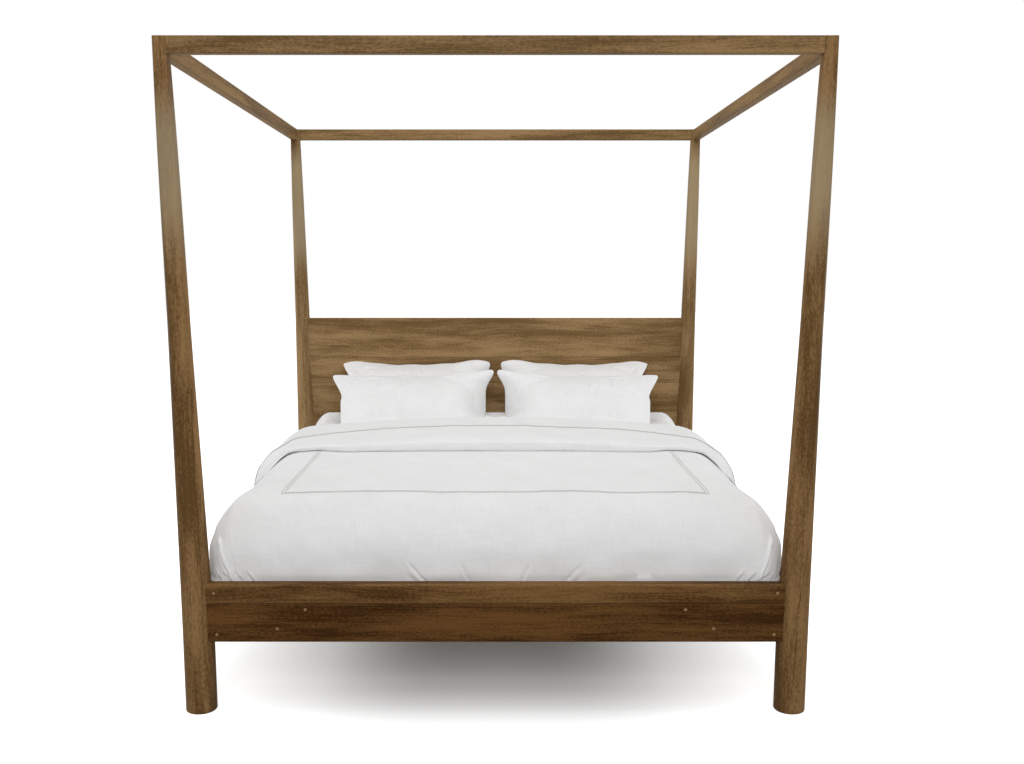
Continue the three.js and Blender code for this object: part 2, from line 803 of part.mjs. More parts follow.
// The duvet: a soft block over the mattress, hollowed out by it, with its fold ending near the pillows.
function duvet(foldEnd) {
  const footShoulder = mattressFootShoulder + duvetShoulderGrowth;
  const foldStart = foldEnd - foldLength;
  const places = [
    ...endDistances(footShoulder, endSteps).map((distance) => duvetFoot + distance),
    (duvetFoot + footShoulder + foldStart) / 2,
    ...endDistances(foldFrontRun, foldSteps).map((distance) => foldStart + distance),
    ...endDistances(foldBackRun, foldSteps).map((distance) => foldEnd - distance).reverse(),
  ];
  const outer = loft(places.map((place) => {
    const fromFoot = place - duvetFoot;
    const fold = foldShare(place, foldEnd);
    const shoulder = mattressShoulderAt(place) + duvetShoulderGrowth;
    const tucked = duvetSide - cornerInset(fromFoot, mattressCornerRadius);
    const side = tucked + fold * foldSideBulge;
    return softRing({
      place,
      side,
      shoulder,
      top: mattressTop + duvetLoft + fold * foldThickness,
      drop: shoulderDrop(fromFoot, shoulder),
      crown: duvetCrown,
      lowerSide: [
        [side, mattressTop - foldHang],
        [tucked, footboardTop + duvetFreeRise],
        [tucked, duvetHem],
      ],
    });
  }));
  return geometryOf(solidOf(outer).subtract(solidOf(mattressBlock(seatGap))));
}

// Grid lines of a pillow from edge to edge, as shares of its half size. The seam is the second line.
function pillowLines(steps, seamShare) {
  const lineAt = (_, step) => -seamShare * Math.cos((step / steps) * Math.PI);
  return [-1, ...Array.from({ length: steps + 1 }, lineAt), 1];
}

// A pillow lying flat: a crowned middle inside a thin flange, its sides drawn in between the corners.
function pillow(halfSpan, halfDepth) {
  const seamX = 1 - pillowFlange / halfSpan;
  const seamY = 1 - pillowFlange / halfDepth;
  const columns = pillowLines(pillowColumns, seamX);
  const rows = pillowLines(pillowRows, seamY);
  const fat = (share, seam) => {
    const left = 1 - (Math.abs(share) / seam) ** pillowRoundPower;
    return Math.max(left, 0) ** pillowFatPower;
  };
  const edge = pillowEdgeThickness / 2;
  const positions = [];
  [1, -1].forEach((face) => {
    rows.forEach((v) => {
      columns.forEach((u) => {
        const x = halfSpan * u * (1 - pillowSidePinchShare * (1 - Math.abs(v) ** pillowSidePinchPower));
        const y = halfDepth * v * (1 - pillowTopPinchShare * (1 - Math.abs(u) ** pillowTopPinchPower));
        const rise = edge + (pillowThickness / 2 - edge) * fat(u, seamX) * fat(v, seamY);
        positions.push(x, y, face * rise);
      });
    });
  });
  const across = columns.length;
  const lastRow = rows.length - 1;
  const last = across - 1;
  const at = (face, row, column) => (face * rows.length + row) * across + column;
  const indices = [];
  const addQuad = (a, b, c, d) => indices.push(a, b, c, a, c, d);
  for (let row = 0; row < lastRow; row += 1) {
    const next = row + 1;
    for (let column = 0; column < last; column += 1) {
      const right = column + 1;
      addQuad(at(0, row, column), at(0, row, right), at(0, next, right), at(0, next, column));
      addQuad(at(1, row, column), at(1, next, column), at(1, next, right), at(1, row, right));
    }
    addQuad(at(0, row, 0), at(0, next, 0), at(1, next, 0), at(1, row, 0));
    addQuad(at(0, row, last), at(1, row, last), at(1, next, last), at(0, next, last));
  }
  for (let column = 0; column < last; column += 1) {
    const right = column + 1;
    addQuad(at(0, 0, column), at(1, 0, column), at(1, 0, right), at(0, 0, right));
    addQuad(at(0, lastRow, column), at(0, lastRow, right), at(1, lastRow, right), at(1, lastRow, column));
  }
  const geometry = new THREE.BufferGeometry();
  geometry.setAttribute('position', new THREE.Float32BufferAttribute(positions, 3));
  geometry.setIndex(indices);
  geometry.computeVertexNormals();
  return geometry.rotateX(THREE.MathUtils.degToRad(pillowTilt));
}

// Lowers a leaning pillow until its lowest edge is seated on the mattress.
function seatOnMattress(geometry) {
  geometry.computeBoundingBox();
  return geometry.translate(0, 0, mattressTop + mattressCrown + seatGap - geometry.boundingBox.min.z);
}

// The four pillows: the rear pair against the headboard, the front pair against the rear one.
// Returns the place along the bed of the front pair's lower edge.
function addPillows() {
  const tilt = THREE.MathUtils.degToRad(pillowTilt);
  const rear = seatOnMattress(pillow(rearPillowHalfWidth, rearPillowHalfDepth));
  const front = seatOnMattress(pillow(frontPillowHalfWidth, frontPillowHalfDepth));
  const rearPlace = halfLength - boardInner - seatGap - rear.boundingBox.max.y;
  const apart = (pillowThickness + seatGap) / Math.sin(tilt);
  const shorter = (rearPillowHalfDepth - frontPillowHalfDepth) * Math.cos(tilt);
  const frontPlace = rearPlace - apart - shorter;
  sides.forEach((side) => {
    const centre = side.sign * (frontPillowHalfWidth + pillowMiddleGap);
    addPiece(`pillow_rear_${side.name}`, rear.clone().translate(centre, rearPlace, 0), 'linen');
    addPiece(`pillow_front_${side.name}`, front.clone().translate(centre, frontPlace, 0), 'linen');
  });
  return front.boundingBox.min.y + frontPlace;
}

addPosts();
addCanopyRails();
addBoards();
addSideRails();
addStuds();
addBase();
addPiece('mattress', mattressBlock(0), 'sheet');
const frontPillowEdge = addPillows();
addPiece('duvet', duvet(frontPillowEdge - pillowFoldGap), 'linen');

export default bed;
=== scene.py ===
import logging
import math
from collections.abc import Callable
from dataclasses import dataclass
from enum import Enum

import bmesh
import bpy
import numpy as np
from mathutils import Euler, Matrix, Vector
from mathutils.bvhtree import BVHTree


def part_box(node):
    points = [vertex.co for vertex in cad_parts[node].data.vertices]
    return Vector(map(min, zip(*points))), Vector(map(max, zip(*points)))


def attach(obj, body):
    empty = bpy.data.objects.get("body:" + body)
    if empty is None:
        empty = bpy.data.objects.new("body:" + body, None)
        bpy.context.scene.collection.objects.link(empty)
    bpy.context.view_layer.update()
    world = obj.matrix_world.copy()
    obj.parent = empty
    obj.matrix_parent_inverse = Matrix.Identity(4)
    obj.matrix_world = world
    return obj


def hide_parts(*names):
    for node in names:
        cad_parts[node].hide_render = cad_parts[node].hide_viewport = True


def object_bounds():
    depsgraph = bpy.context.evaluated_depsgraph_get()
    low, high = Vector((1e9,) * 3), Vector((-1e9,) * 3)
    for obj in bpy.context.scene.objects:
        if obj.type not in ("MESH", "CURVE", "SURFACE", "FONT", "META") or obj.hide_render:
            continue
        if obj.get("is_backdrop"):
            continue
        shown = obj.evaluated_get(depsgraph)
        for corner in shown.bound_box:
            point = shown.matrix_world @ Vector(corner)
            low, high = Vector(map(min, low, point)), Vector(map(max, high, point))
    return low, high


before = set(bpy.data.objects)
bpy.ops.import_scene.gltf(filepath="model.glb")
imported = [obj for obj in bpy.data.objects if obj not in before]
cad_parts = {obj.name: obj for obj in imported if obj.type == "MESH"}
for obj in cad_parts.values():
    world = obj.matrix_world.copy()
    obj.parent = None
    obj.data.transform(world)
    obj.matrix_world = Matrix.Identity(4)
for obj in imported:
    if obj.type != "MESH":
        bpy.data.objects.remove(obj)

log = logging.getLogger("canopy_bed")

Colour = tuple[float, float, float]
Point = tuple[float, float, float]
Pair = tuple[float, float]
Waves = tuple[tuple[float, float, int], ...]
Faces = list[list[int]]
Feeds = dict[str | int, object]
Node = bpy.types.Node
Tree = bpy.types.NodeTree
Socket = bpy.types.NodeSocket
Material = bpy.types.Material
Piece = bpy.types.Object

ROOT = "root"


class Grain(Enum):
    """Direction in which a board's grain runs."""

    ACROSS = "X"
    ALONG = "Y"
    UP = "Z"


class Side(Enum):
    """Left or right side of the bed, seen from its foot."""

    LEFT = -1
    RIGHT = 1


def put(tree: Tree, kind: str, feeds: Feeds | None = None, **settings: object) -> Node:
    """Adds a node to a tree.

    Args:
        tree: The node tree.
        kind: Blender's name for the node type.
        feeds: Input names or numbers, each with a socket to link or a constant.
        **settings: Options of the node.

    Returns:
        The new node.
    """
    node = tree.nodes.new(kind)
    for name, value in settings.items():
        setattr(node, name, value)
    for key, value in (feeds or {}).items():
        if isinstance(value, Socket):
            tree.links.new(value, node.inputs[key])
        else:
            node.inputs[key].default_value = value
    return node


def calc(tree: Tree, operation: str, *values: object) -> Socket:
    """Adds a Math node and returns its result."""
    return put(tree, "ShaderNodeMath", dict(enumerate(values)), operation=operation).outputs[0]


def vector_calc(tree: Tree, operation: str, *values: object) -> Socket:
    """Adds a Vector Math node and returns its result."""
    outputs = put(tree, "ShaderNodeVectorMath", dict(enumerate(values)), operation=operation).outputs
    return outputs["Value" if operation in ("LENGTH", "DOT_PRODUCT") else "Vector"]


def stretch(tree: Tree, vector: Socket, scale: Point) -> Socket:
    """Scales a vector by three factors."""
    return vector_calc(tree, "MULTIPLY", vector, scale)


def noise(tree: Tree, vector: Socket, scale: object, detail: float) -> Node:
    """Adds a Noise Texture node."""
    return put(tree, "ShaderNodeTexNoise", {"Vector": vector, "Scale": scale, "Detail": detail})


def streaks(tree: Tree, vector: Socket, pitch: Pair, detail: float = 3.0) -> Socket:
    """Adds noise drawn out along X, with so many waves in a metre along the board and across it."""
    return noise(tree, stretch(tree, vector, (pitch[0], pitch[1], pitch[1])), 1.0, detail).outputs[0]


def remap(tree: Tree, value: object, span: Pair, to: Pair) -> Socket:
    """Maps a value smoothly from one range to another."""
    feeds = {"Value": value, 1: span[0], 2: span[1], 3: to[0], 4: to[1]}
    return put(tree, "ShaderNodeMapRange", feeds, interpolation_type="SMOOTHSTEP").outputs[0]


def blend_colour(tree: Tree, share: object, low: object, high: object) -> Socket:
    """Mixes two colours and returns the result."""
    return put(tree, "ShaderNodeMix", {0: share, 6: low, 7: high}, data_type="RGBA").outputs[2]


def rgba(colour: Colour) -> tuple[float, float, float, float]:
    """Adds full opacity to a colour."""
    return (*colour, 1.0)


def new_group(name: str, inputs: dict[str, object], outputs: dict[str, str]) -> Tree:
    """Makes an empty shader node group.

    Args:
        name: The group's name.
        inputs: Input names with their default: a number, a colour, or None for a vector.
        outputs: Output names with their socket type.

    Returns:
        The group, with its input and output nodes in place.
    """
    group = bpy.data.node_groups.new(name, "ShaderNodeTree")
    for key, default in inputs.items():
        kind = "Vector" if default is None else "Float" if isinstance(default, float) else "Color"
        socket = group.interface.new_socket(name=key, in_out="INPUT", socket_type=f"NodeSocket{kind}")
        if default is not None:
            socket.default_value = default
    for key, kind in outputs.items():
        group.interface.new_socket(name=key, in_out="OUTPUT", socket_type=f"NodeSocket{kind}")
    group.nodes.new("NodeGroupInput")
    group.nodes.new("NodeGroupOutput")
    return group


def group_ends(group: Tree) -> tuple[bpy.types.NodeOutputs, bpy.types.NodeInputs]:
    """Returns the sockets that enter and leave a group."""
    return group.nodes["Group Input"].outputs, group.nodes["Group Output"].inputs


def ring_lines(group: Tree, bent: Socket, seed: Socket, ring: Socket) -> Socket:
    """Draws late wood: dark lines over the last seventh of each ring round a heart line beside the board.

    Args:
        group: The grain's node group.
        bent: Place in the board, bent by noise.
        seed: The board's seed, which moves the heart line.
        ring: Distance between rings.

    Returns:
        The mask of the lines.
    """
    parts = put(group, "ShaderNodeSeparateXYZ", {0: bent}).outputs
    heart_y = calc(group, "MULTIPLY", calc(group, "SINE", calc(group, "MULTIPLY", seed, 2.1)), 0.05)
    heart_z = calc(group, "ADD", calc(group, "MULTIPLY", calc(group, "COSINE", seed), 0.02), 0.075)
    from_heart = {1: calc(group, "ADD", parts[1], heart_y), 2: calc(group, "ADD", parts[2], heart_z)}
    radius = vector_calc(group, "LENGTH", put(group, "ShaderNodeCombineXYZ", from_heart).outputs[0])
    turn = calc(group, "FRACT", calc(group, "DIVIDE", radius, ring))
    darkens = remap(group, turn, (0.86, 0.97), (0.0, 1.0))
    return calc(group, "MULTIPLY", darkens, remap(group, turn, (0.97, 1.0), (1.0, 0.0)))


def knot_spots(group: Tree, bent: Socket) -> Socket:
    """Draws knots: spots in the middle of a few rare cells.

    Args:
        group: The grain's node group.
        bent: Place in the board, bent by noise.

    Returns:
        The mask of the knots.
    """
    apart = stretch(group, bent, (2.2, 8.0, 8.0))
    cells = put(group, "ShaderNodeTexVoronoi", {"Vector": apart, "Scale": 1.0})
    rare = put(group, "ShaderNodeSeparateColor", {0: cells.outputs["Color"]}).outputs[0]
    spot = remap(group, cells.outputs["Distance"], (0.012, 0.055), (1.0, 0.0))
    return calc(group, "MULTIPLY", spot, remap(group, rare, (0.5, 0.54), (0.0, 1.0)))


def build_grain_group() -> Tree:
    """Builds the grain of a sawn board.

    The board's length lies along X. Soft patches, figure, fibres and pores are noise drawn out along X.
    A few thin dark lines are the late wood of growth rings, circles round a heart line beside the board
    that noise bends. Knots are rare cells.

    Returns:
        The node group.
    """
    stains = {"Light": rgba((0.2, 0.12, 0.06)), "Dark": rgba((0.08, 0.04, 0.02))}
    outputs = {"Color": "Color", "Roughness": "Float", "Height": "Float"}
    group = new_group("timber_grain", {"Vector": None, "Seed": 0.0, **stains, "Ring": 0.03}, outputs)
    source, result = group_ends(group)
    shift = put(group, "ShaderNodeCombineXYZ", {0: calc(group, "MULTIPLY", source["Seed"], 3.7)}).outputs[0]
    place = vector_calc(group, "ADD", source["Vector"], shift)
    wander = noise(group, stretch(group, place, (0.8, 3.0, 3.0)), 1.0, 3.0).outputs["Color"]
    warp = stretch(group, vector_calc(group, "SUBTRACT", wander, (0.5, 0.5, 0.5)), (0.0, 0.12, 0.12))
    bent = vector_calc(group, "ADD", place, warp)

    # Patches, figure, fibres and mottle lighten and darken the board about its middle tone
    broad = streaks(group, place, (1.4, 11.0))
    figure = streaks(group, bent, (3.2, 36.0))
    fibre = streaks(group, bent, (9.0, 210.0))
    pore = streaks(group, bent, (30.0, 520.0), 1.0)
    mottle = streaks(group, place, (90.0, 190.0), 2.0)
    middle = (0.3, 0.7)
    tone = remap(group, broad, middle, (0.04, 1.0))
    for layer, reach in ((figure, (-0.25, 0.24)), (fibre, (-0.2, 0.18)), (mottle, (-0.26, 0.26))):
        tone = calc(group, "ADD", tone, remap(group, layer, middle, reach))
    tone = calc(group, "SUBTRACT", tone, remap(group, pore, (0.6, 0.72), (0.0, 0.16)))
    shown = remap(group, figure, (0.42, 0.62), (0.5, 0.0))
    line = ring_lines(group, bent, source["Seed"], source["Ring"])
    tone = calc(group, "SUBTRACT", tone, calc(group, "MULTIPLY", line, shown))
    tone = calc(group, "SUBTRACT", tone, calc(group, "MULTIPLY", knot_spots(group, bent), 1.1))
    tone = put(group, "ShaderNodeClamp", {0: tone, "Min": -0.4, "Max": 1.2}).outputs[0]
    group.links.new(blend_colour(group, tone, source["Dark"], source["Light"]), result["Color"])
    group.links.new(remap(group, tone, (0.0, 1.0), (0.5, 0.62)), result["Roughness"])
    lift = calc(group, "ADD", calc(group, "MULTIPLY", fibre, 0.6), calc(group, "MULTIPLY", tone, 0.4))
    group.links.new(lift, result["Height"])
    return group


def build_arris_group() -> Tree:
    """Builds the softened edge of a board: a rounded normal, and a mask that is 1 on worn edges, where the
    finish also paints a highlight.

    The mask is how far the rounded normal turns away from the face's own normal.

    Returns:
        The node group.
    """
    group = new_group("arris_wear_and_highlight", {"Radius": 0.003}, {"Normal": "Vector", "Mask": "Float"})
    source, result = group_ends(group)
    rounded = put(group, "ShaderNodeBevel", {"Radius": source["Radius"]}, samples=6).outputs[0]
    face = put(group, "ShaderNodeNewGeometry").outputs["True Normal"]
    alike = vector_calc(group, "DOT_PRODUCT", rounded, face)
    worn_and_highlit, whole = 0.75, 0.995
    group.links.new(rounded, result["Normal"])
    group.links.new(remap(group, alike, (worn_and_highlit, whole), (1.0, 0.0)), result["Mask"])
    return group


def build_weave_group() -> Tree:
    """Builds a plain linen weave on a UV map in metres.

    Each thread direction is noise drawn out along the thread, with slubs, and a sine for the threads.

    Returns:
        The node group.
    """
    group = new_group("linen_weave", {"Vector": None, "Thread": 0.0011}, {"Tone": "Float", "Height": "Float"})
    source, result = group_ends(group)
    warp = noise(group, stretch(group, source["Vector"], (420.0, 14.0, 1.0)), 1.0, 3.0).outputs[0]
    weft = noise(group, stretch(group, source["Vector"], (11.0, 380.0, 1.0)), 1.0, 3.0).outputs[0]
    cloud = noise(group, source["Vector"], 7.0, 3.0).outputs[0]
    tone = calc(group, "ADD", calc(group, "MULTIPLY", calc(group, "ADD", warp, weft), 0.7), 0.3)
    tone = calc(group, "ADD", tone, calc(group, "MULTIPLY", cloud, 0.5))
    parts = put(group, "ShaderNodeSeparateXYZ", {0: source["Vector"]})
    waves = []
    for part in parts.outputs[:2]:
        angle = calc(group, "MULTIPLY", calc(group, "DIVIDE", part, source["Thread"]), math.pi)
        waves.append(calc(group, "ABSOLUTE", calc(group, "SINE", angle)))
    threads = calc(group, "MULTIPLY", waves[0], waves[1])
    group.links.new(remap(group, tone, (0.85, 1.65), (0.0, 1.0)), result["Tone"])
    group.links.new(calc(group, "ADD", tone, calc(group, "MULTIPLY", threads, 0.7)), result["Height"])
    return group


def build_crease_group() -> Tree:
    """Builds faint pressed creases in cloth: thin lines where a warped noise crosses its middle value.

    Returns:
        The node group.
    """
    group = new_group("cloth_creases", {"Vector": None, "Scale": 4.0}, {"Height": "Float"})
    source, result = group_ends(group)
    field = noise(group, source["Vector"], source["Scale"], 3.0)
    field.inputs["Distortion"].default_value = 0.6
    gap = calc(group, "ABSOLUTE", calc(group, "SUBTRACT", field.outputs[0], 0.5))
    group.links.new(remap(group, gap, (0.0, 0.06), (0.0, 1.0)), result["Height"])
    return group


class Groups:
    """The shared node groups, each built once."""

    def __init__(self) -> None:
        """Builds every group."""
        self.grain = build_grain_group()
        self.arris = build_arris_group()
        self.weave = build_weave_group()
        self.crease = build_crease_group()


def use_group(tree: Tree, group: Tree, feeds: Feeds) -> Node:
    """Places a node group in a tree."""
    return put(tree, "ShaderNodeGroup", feeds, node_tree=group)


def new_material(name: str) -> tuple[Material, Tree, Node]:
    """Makes a material with nodes.

    Args:
        name: The material's name.

    Returns:
        The material, its node tree and its Principled shader.
    """
    material = bpy.data.materials.new(name)
    material.use_nodes = True
    return material, material.node_tree, material.node_tree.nodes["Principled BSDF"]


GRAIN_TURNS = {
    Grain.ACROSS: (0.0, 0.0, 0.0),
    Grain.ALONG: (0.0, 0.0, -math.pi / 2),
    Grain.UP: (0.0, math.pi / 2, 0.0),
}


@dataclass(frozen=True)
class TimberFinish:
    """A stained timber.

    Attributes:
        name: Name of the finish.
        light: Colour of the pale wood between the rings.
        dark: Colour of the late wood.
        worn_and_highlit: Colour of worn edges, lightened further by a painted highlight along the arris.
        ring: Distance between dark grain lines in metres.
        wear_and_highlight: How far the worn edges and their painted highlight show.
        edge: Width of the worn, highlit edge in metres.
        painted_highlight: How strongly a painted highlight pales upright timber between the highlight
            heights.
        highlight_colour: Colour of the painted highlight.
        highlight_heights: Heights where the painted highlight starts, is full, starts to end and ends.
        bump: Strength of the grain's relief, and its depth in metres.
        gloss: Strength of the clear coat's shine.
    """

    name: str
    light: Colour
    dark: Colour
    worn_and_highlit: Colour
    ring: float = 0.03
    wear_and_highlight: float = 0.45
    edge: float = 0.005
    painted_highlight: float = 0.0
    highlight_colour: Colour = (0.41, 0.325, 0.2)
    highlight_heights: tuple[float, float, float, float] = (1.42, 1.72, 1.86, 2.06)
    bump: Pair = (0.35, 0.0006)
    gloss: float = 0.035

    def material(self, groups: Groups, label: str, grain: Grain, centre: Vector, seed: float) -> Material:
        """Builds the material of one board.

        Args:
            groups: The shared node groups.
            label: Ending of the material's name.
            grain: Direction of the grain.
            centre: The board's middle, in the row frame.
            seed: Number that makes this board differ from others.

        Returns:
            The material.
        """
        material, tree, shader = new_material(f"{self.name}_{label}")
        turn = Euler(GRAIN_TURNS[grain])
        where = put(tree, "ShaderNodeTexCoord").outputs["Object"]
        placing = {"Vector": where, "Location": -(turn.to_matrix() @ centre), "Rotation": turn}
        mapped = put(tree, "ShaderNodeMapping", placing).outputs[0]
        stains = {"Light": rgba(self.light), "Dark": rgba(self.dark)}
        wood = use_group(tree, groups.grain, {"Vector": mapped, "Seed": seed, "Ring": self.ring, **stains})
        edge = use_group(tree, groups.arris, {"Radius": self.edge})
        wear_and_highlight = calc(tree, "MULTIPLY", edge.outputs["Mask"], self.wear_and_highlight)
        colour = wood.outputs["Color"]
        # Painted highlight: a paler band up the posts between the highlight heights, standing in for light
        # falling there
        if self.painted_highlight:
            level = put(tree, "ShaderNodeSeparateXYZ", {0: where}).outputs[2]
            highlight_rise = remap(tree, level, self.highlight_heights[:2], (0.0, self.painted_highlight))
            highlight_falloff = remap(tree, level, self.highlight_heights[2:], (1.0, 0.0))
            colour = blend_colour(tree, calc(tree, "MULTIPLY", highlight_rise, highlight_falloff), colour, rgba(self.highlight_colour))
        # Worn edges: partly real wear, partly a painted highlight along the arris
        colour = blend_colour(tree, wear_and_highlight, colour, rgba(self.worn_and_highlit))
        relief = {"Height": wood.outputs["Height"], "Strength": self.bump[0], "Distance": self.bump[1]}
        bump = put(tree, "ShaderNodeBump", relief | {"Normal": edge.outputs["Normal"]})
        tree.links.new(colour, shader.inputs["Base Color"])
        tree.links.new(wood.outputs["Roughness"], shader.inputs["Roughness"])
        tree.links.new(bump.outputs[0], shader.inputs["Normal"])
        shader.inputs["Specular IOR Level"].default_value = self.gloss
        return material


@dataclass(frozen=True)
class ClothFinish:
    """A woven cloth.

    Attributes:
        name: Name of the finish.
        light: Colour of raised threads.
        dark: Colour of the gaps between threads.
        crease: Depth of pressed creases in metres.
        crease_scale: How close together the creases lie, per metre.
        bump: Strength of the weave's relief, and its depth in metres.
        roughness: Roughness of the cloth.
        gloss: Strength of its shine.
        sheen: Weight and roughness of the fuzz that catches light.
    """

    name: str
    light: Colour
    dark: Colour
    crease: float = 0.0008
    crease_scale: float = 4.0
    bump: Pair = (0.5, 0.0004)
    roughness: float = 0.92
    gloss: float = 0.2
    sheen: Pair = (0.12, 0.5)

    def material(self, groups: Groups) -> Material:
        """Builds the material, on the piece's UV map in metres.

        Args:
            groups: The shared node groups.

        Returns:
            The material.
        """
        material, tree, shader = new_material(self.name)
        where = put(tree, "ShaderNodeUVMap", uv_map="cloth").outputs[0]
        weave = use_group(tree, groups.weave, {"Vector": where})
        creases = use_group(tree, groups.crease, {"Vector": where, "Scale": self.crease_scale})
        colour = blend_colour(tree, weave.outputs["Tone"], rgba(self.dark), rgba(self.light))
        pressed = {"Height": creases.outputs[0], "Strength": 1.0, "Distance": self.crease}
        folded = put(tree, "ShaderNodeBump", pressed)
        relief = {"Height": weave.outputs["Height"], "Strength": self.bump[0], "Distance": self.bump[1]}
        woven = put(tree, "ShaderNodeBump", relief | {"Normal": folded.outputs[0]})
        tree.links.new(colour, shader.inputs["Base Color"])
        tree.links.new(woven.outputs[0], shader.inputs["Normal"])
        shader.inputs["Roughness"].default_value = self.roughness
        shader.inputs["Specular IOR Level"].default_value = self.gloss
        shader.inputs["Sheen Weight"].default_value = self.sheen[0]
        shader.inputs["Sheen Roughness"].default_value = self.sheen[1]
        return material


@dataclass(frozen=True)
class PlatedSteel:
    """Zinc-plated steel of the studs and nuts.

    Attributes:
        name: Name of the finish.
        light: Colour of the brightest spangles.
        dark: Colour of the dullest spangles.
        spangles: Number of spangles in a metre.
        roughness: Roughness of the dullest and the brightest spangles.
    """

    name: str = "zinc_plated_steel"
    light: Colour = (0.55, 0.56, 0.58)
    dark: Colour = (0.38, 0.39, 0.42)
    spangles: float = 260.0
    roughness: Pair = (0.3, 0.42)

    def material(self) -> Material:
        """Builds the material: spangled metal from cell noise on Object coordinates.

        Returns:
            The material.
        """
        material, tree, shader = new_material(self.name)
        where = put(tree, "ShaderNodeTexCoord").outputs["Object"]
        spangle = put(tree, "ShaderNodeTexVoronoi", {"Vector": where, "Scale": self.spangles})
        tone = put(tree, "ShaderNodeSeparateColor", {0: spangle.outputs["Color"]}).outputs[0]
        colour = blend_colour(tree, tone, rgba(self.dark), rgba(self.light))
        tree.links.new(colour, shader.inputs["Base Color"])
        tree.links.new(remap(tree, tone, (0.0, 1.0), self.roughness), shader.inputs["Roughness"])
        shader.inputs["Metallic"].default_value = 1.0
        return material


BROWN_STAIN = TimberFinish("brown_timber", (0.313, 0.194, 0.0874), (0.14, 0.0785, 0.0287), (0.36, 0.24, 0.12))
# Headboard stain: paler than the rails, partly painted light that offsets the shade behind the pillows, with
# a stronger painted highlight on its edges
LIGHTENED_HEADBOARD_STAIN = TimberFinish(
    "lightened_headboard_timber", (0.367, 0.234, 0.111), (0.161, 0.0924, 0.035), (0.46, 0.32, 0.17), wear_and_highlight=0.65, edge=0.007
)
# The post stains carry a painted highlight: a paler, greyer band high up the posts
FOOT_POST_STAIN = TimberFinish(
    "post_timber", (0.289, 0.167, 0.0698), (0.119, 0.0615, 0.0203), (0.34, 0.22, 0.11), painted_highlight=0.6
)
HEAD_POST_STAIN = TimberFinish(
    "highlit_post_timber", (0.33, 0.209, 0.0983), (0.154, 0.089, 0.035), (0.46, 0.33, 0.19),
    painted_highlight=0.62, highlight_heights=(1.38, 1.64, 1.95, 2.12),
)
# Footboard and side rails: their strongly worn edges are partly a painted highlight along the arris
DARK_STAIN = TimberFinish(
    "dark_timber", (0.213, 0.112, 0.0392), (0.0725, 0.0312, 0.00837), (0.5, 0.35, 0.19), wear_and_highlight=0.85, edge=0.01
)
DEEP_STAIN = TimberFinish(
    "deep_timber", (0.146, 0.0667, 0.0198), (0.0426, 0.0167, 0.00364), (0.26, 0.145, 0.055), edge=0.006
)
PLAIN_SOFTWOOD = TimberFinish("slat_timber", (0.62, 0.43, 0.24), (0.4, 0.24, 0.11), (0.7, 0.52, 0.33), 0.012)
PLUG_WOOD = TimberFinish("plug_timber", (0.36, 0.24, 0.12), (0.26, 0.16, 0.07), (0.38, 0.26, 0.14))
WASHED_LINEN = ClothFinish("washed_linen", (0.9, 0.9, 0.9), (0.8, 0.8, 0.797), 0.0006)
COTTON_SHEET = ClothFinish("cotton_sheet", (0.9, 0.9, 0.9), (0.82, 0.82, 0.82), 0.001, 6.0)
THREAD_GREY = ClothFinish("grey_stitching", (0.56, 0.55, 0.53), (0.44, 0.43, 0.41), 0.0)
PILLOW_LINEN = ClothFinish("pillow_linen", (0.885, 0.885, 0.885), (0.785, 0.785, 0.782), 0.0008, 5.0)


def grid_quads(rows: int, columns: int, loop_rows: bool = False, loop_columns: bool = False) -> np.ndarray:
    """Lists the quads of a grid of points.

    Args:
        rows: Number of rows of points.
        columns: Number of points in a row.
        loop_rows: Whether the last row joins the first.
        loop_columns: Whether the last column joins the first.

    Returns:
        An array of point numbers, one line for each quad.
    """
    row = np.arange(rows if loop_rows else rows - 1)[:, None]
    column = np.arange(columns if loop_columns else columns - 1)[None, :]
    down, right = (row + 1) % rows, (column + 1) % columns
    corners = (row * columns + column, row * columns + right, down * columns + right, down * columns + column)
    return np.stack(np.broadcast_arrays(*corners), axis=-1).reshape(-1, 4)


def grid_rim(rows: int, columns: int) -> np.ndarray:
    """Lists the points on the rim of a grid.

    Args:
        rows: Number of rows of points.
        columns: Number of points in a row.

    Returns:
        The point numbers in order round the rim.
    """
    first, last = np.arange(columns), (rows - 1) * columns + np.arange(columns - 1)[::-1]
    right, left = np.arange(1, rows) * columns + columns - 1, np.arange(1, rows - 1)[::-1] * columns
    return np.concatenate([first, right, last, left])


def end_faces(rows: int, columns: int) -> Faces:
    """Lists the two faces that close a tube of points, its rows lying round it."""
    return [list(range(columns)), [(rows - 1) * columns + column for column in range(columns)][::-1]]


def make_piece(name: str, points: np.ndarray, faces: Faces, uv: np.ndarray | None = None) -> Piece:
    """Makes a smooth mesh object at the origin.

    Args:
        name: The piece's name.
        points: Points in the row frame, one line each.
        faces: Faces as lists of point numbers.
        uv: Cloth coordinates of the points in metres, if the piece has any.

    Returns:
        The object.
    """
    mesh = bpy.data.meshes.new(name)
    mesh.from_pydata(points.reshape(-1, 3).tolist(), [], faces)
    mesh.polygons.foreach_set("use_smooth", np.ones(len(mesh.polygons), bool))
    if uv is not None:
        layer = mesh.uv_layers.new(name="cloth")
        corners = np.empty(len(mesh.loops), np.int32)
        mesh.loops.foreach_get("vertex_index", corners)
        layer.data.foreach_set("uv", uv.reshape(-1, 2)[corners].astype(np.float32).ravel())
    mesh.update()
    piece = bpy.data.objects.new(name, mesh)
    bpy.context.scene.collection.objects.link(piece)
    return piece


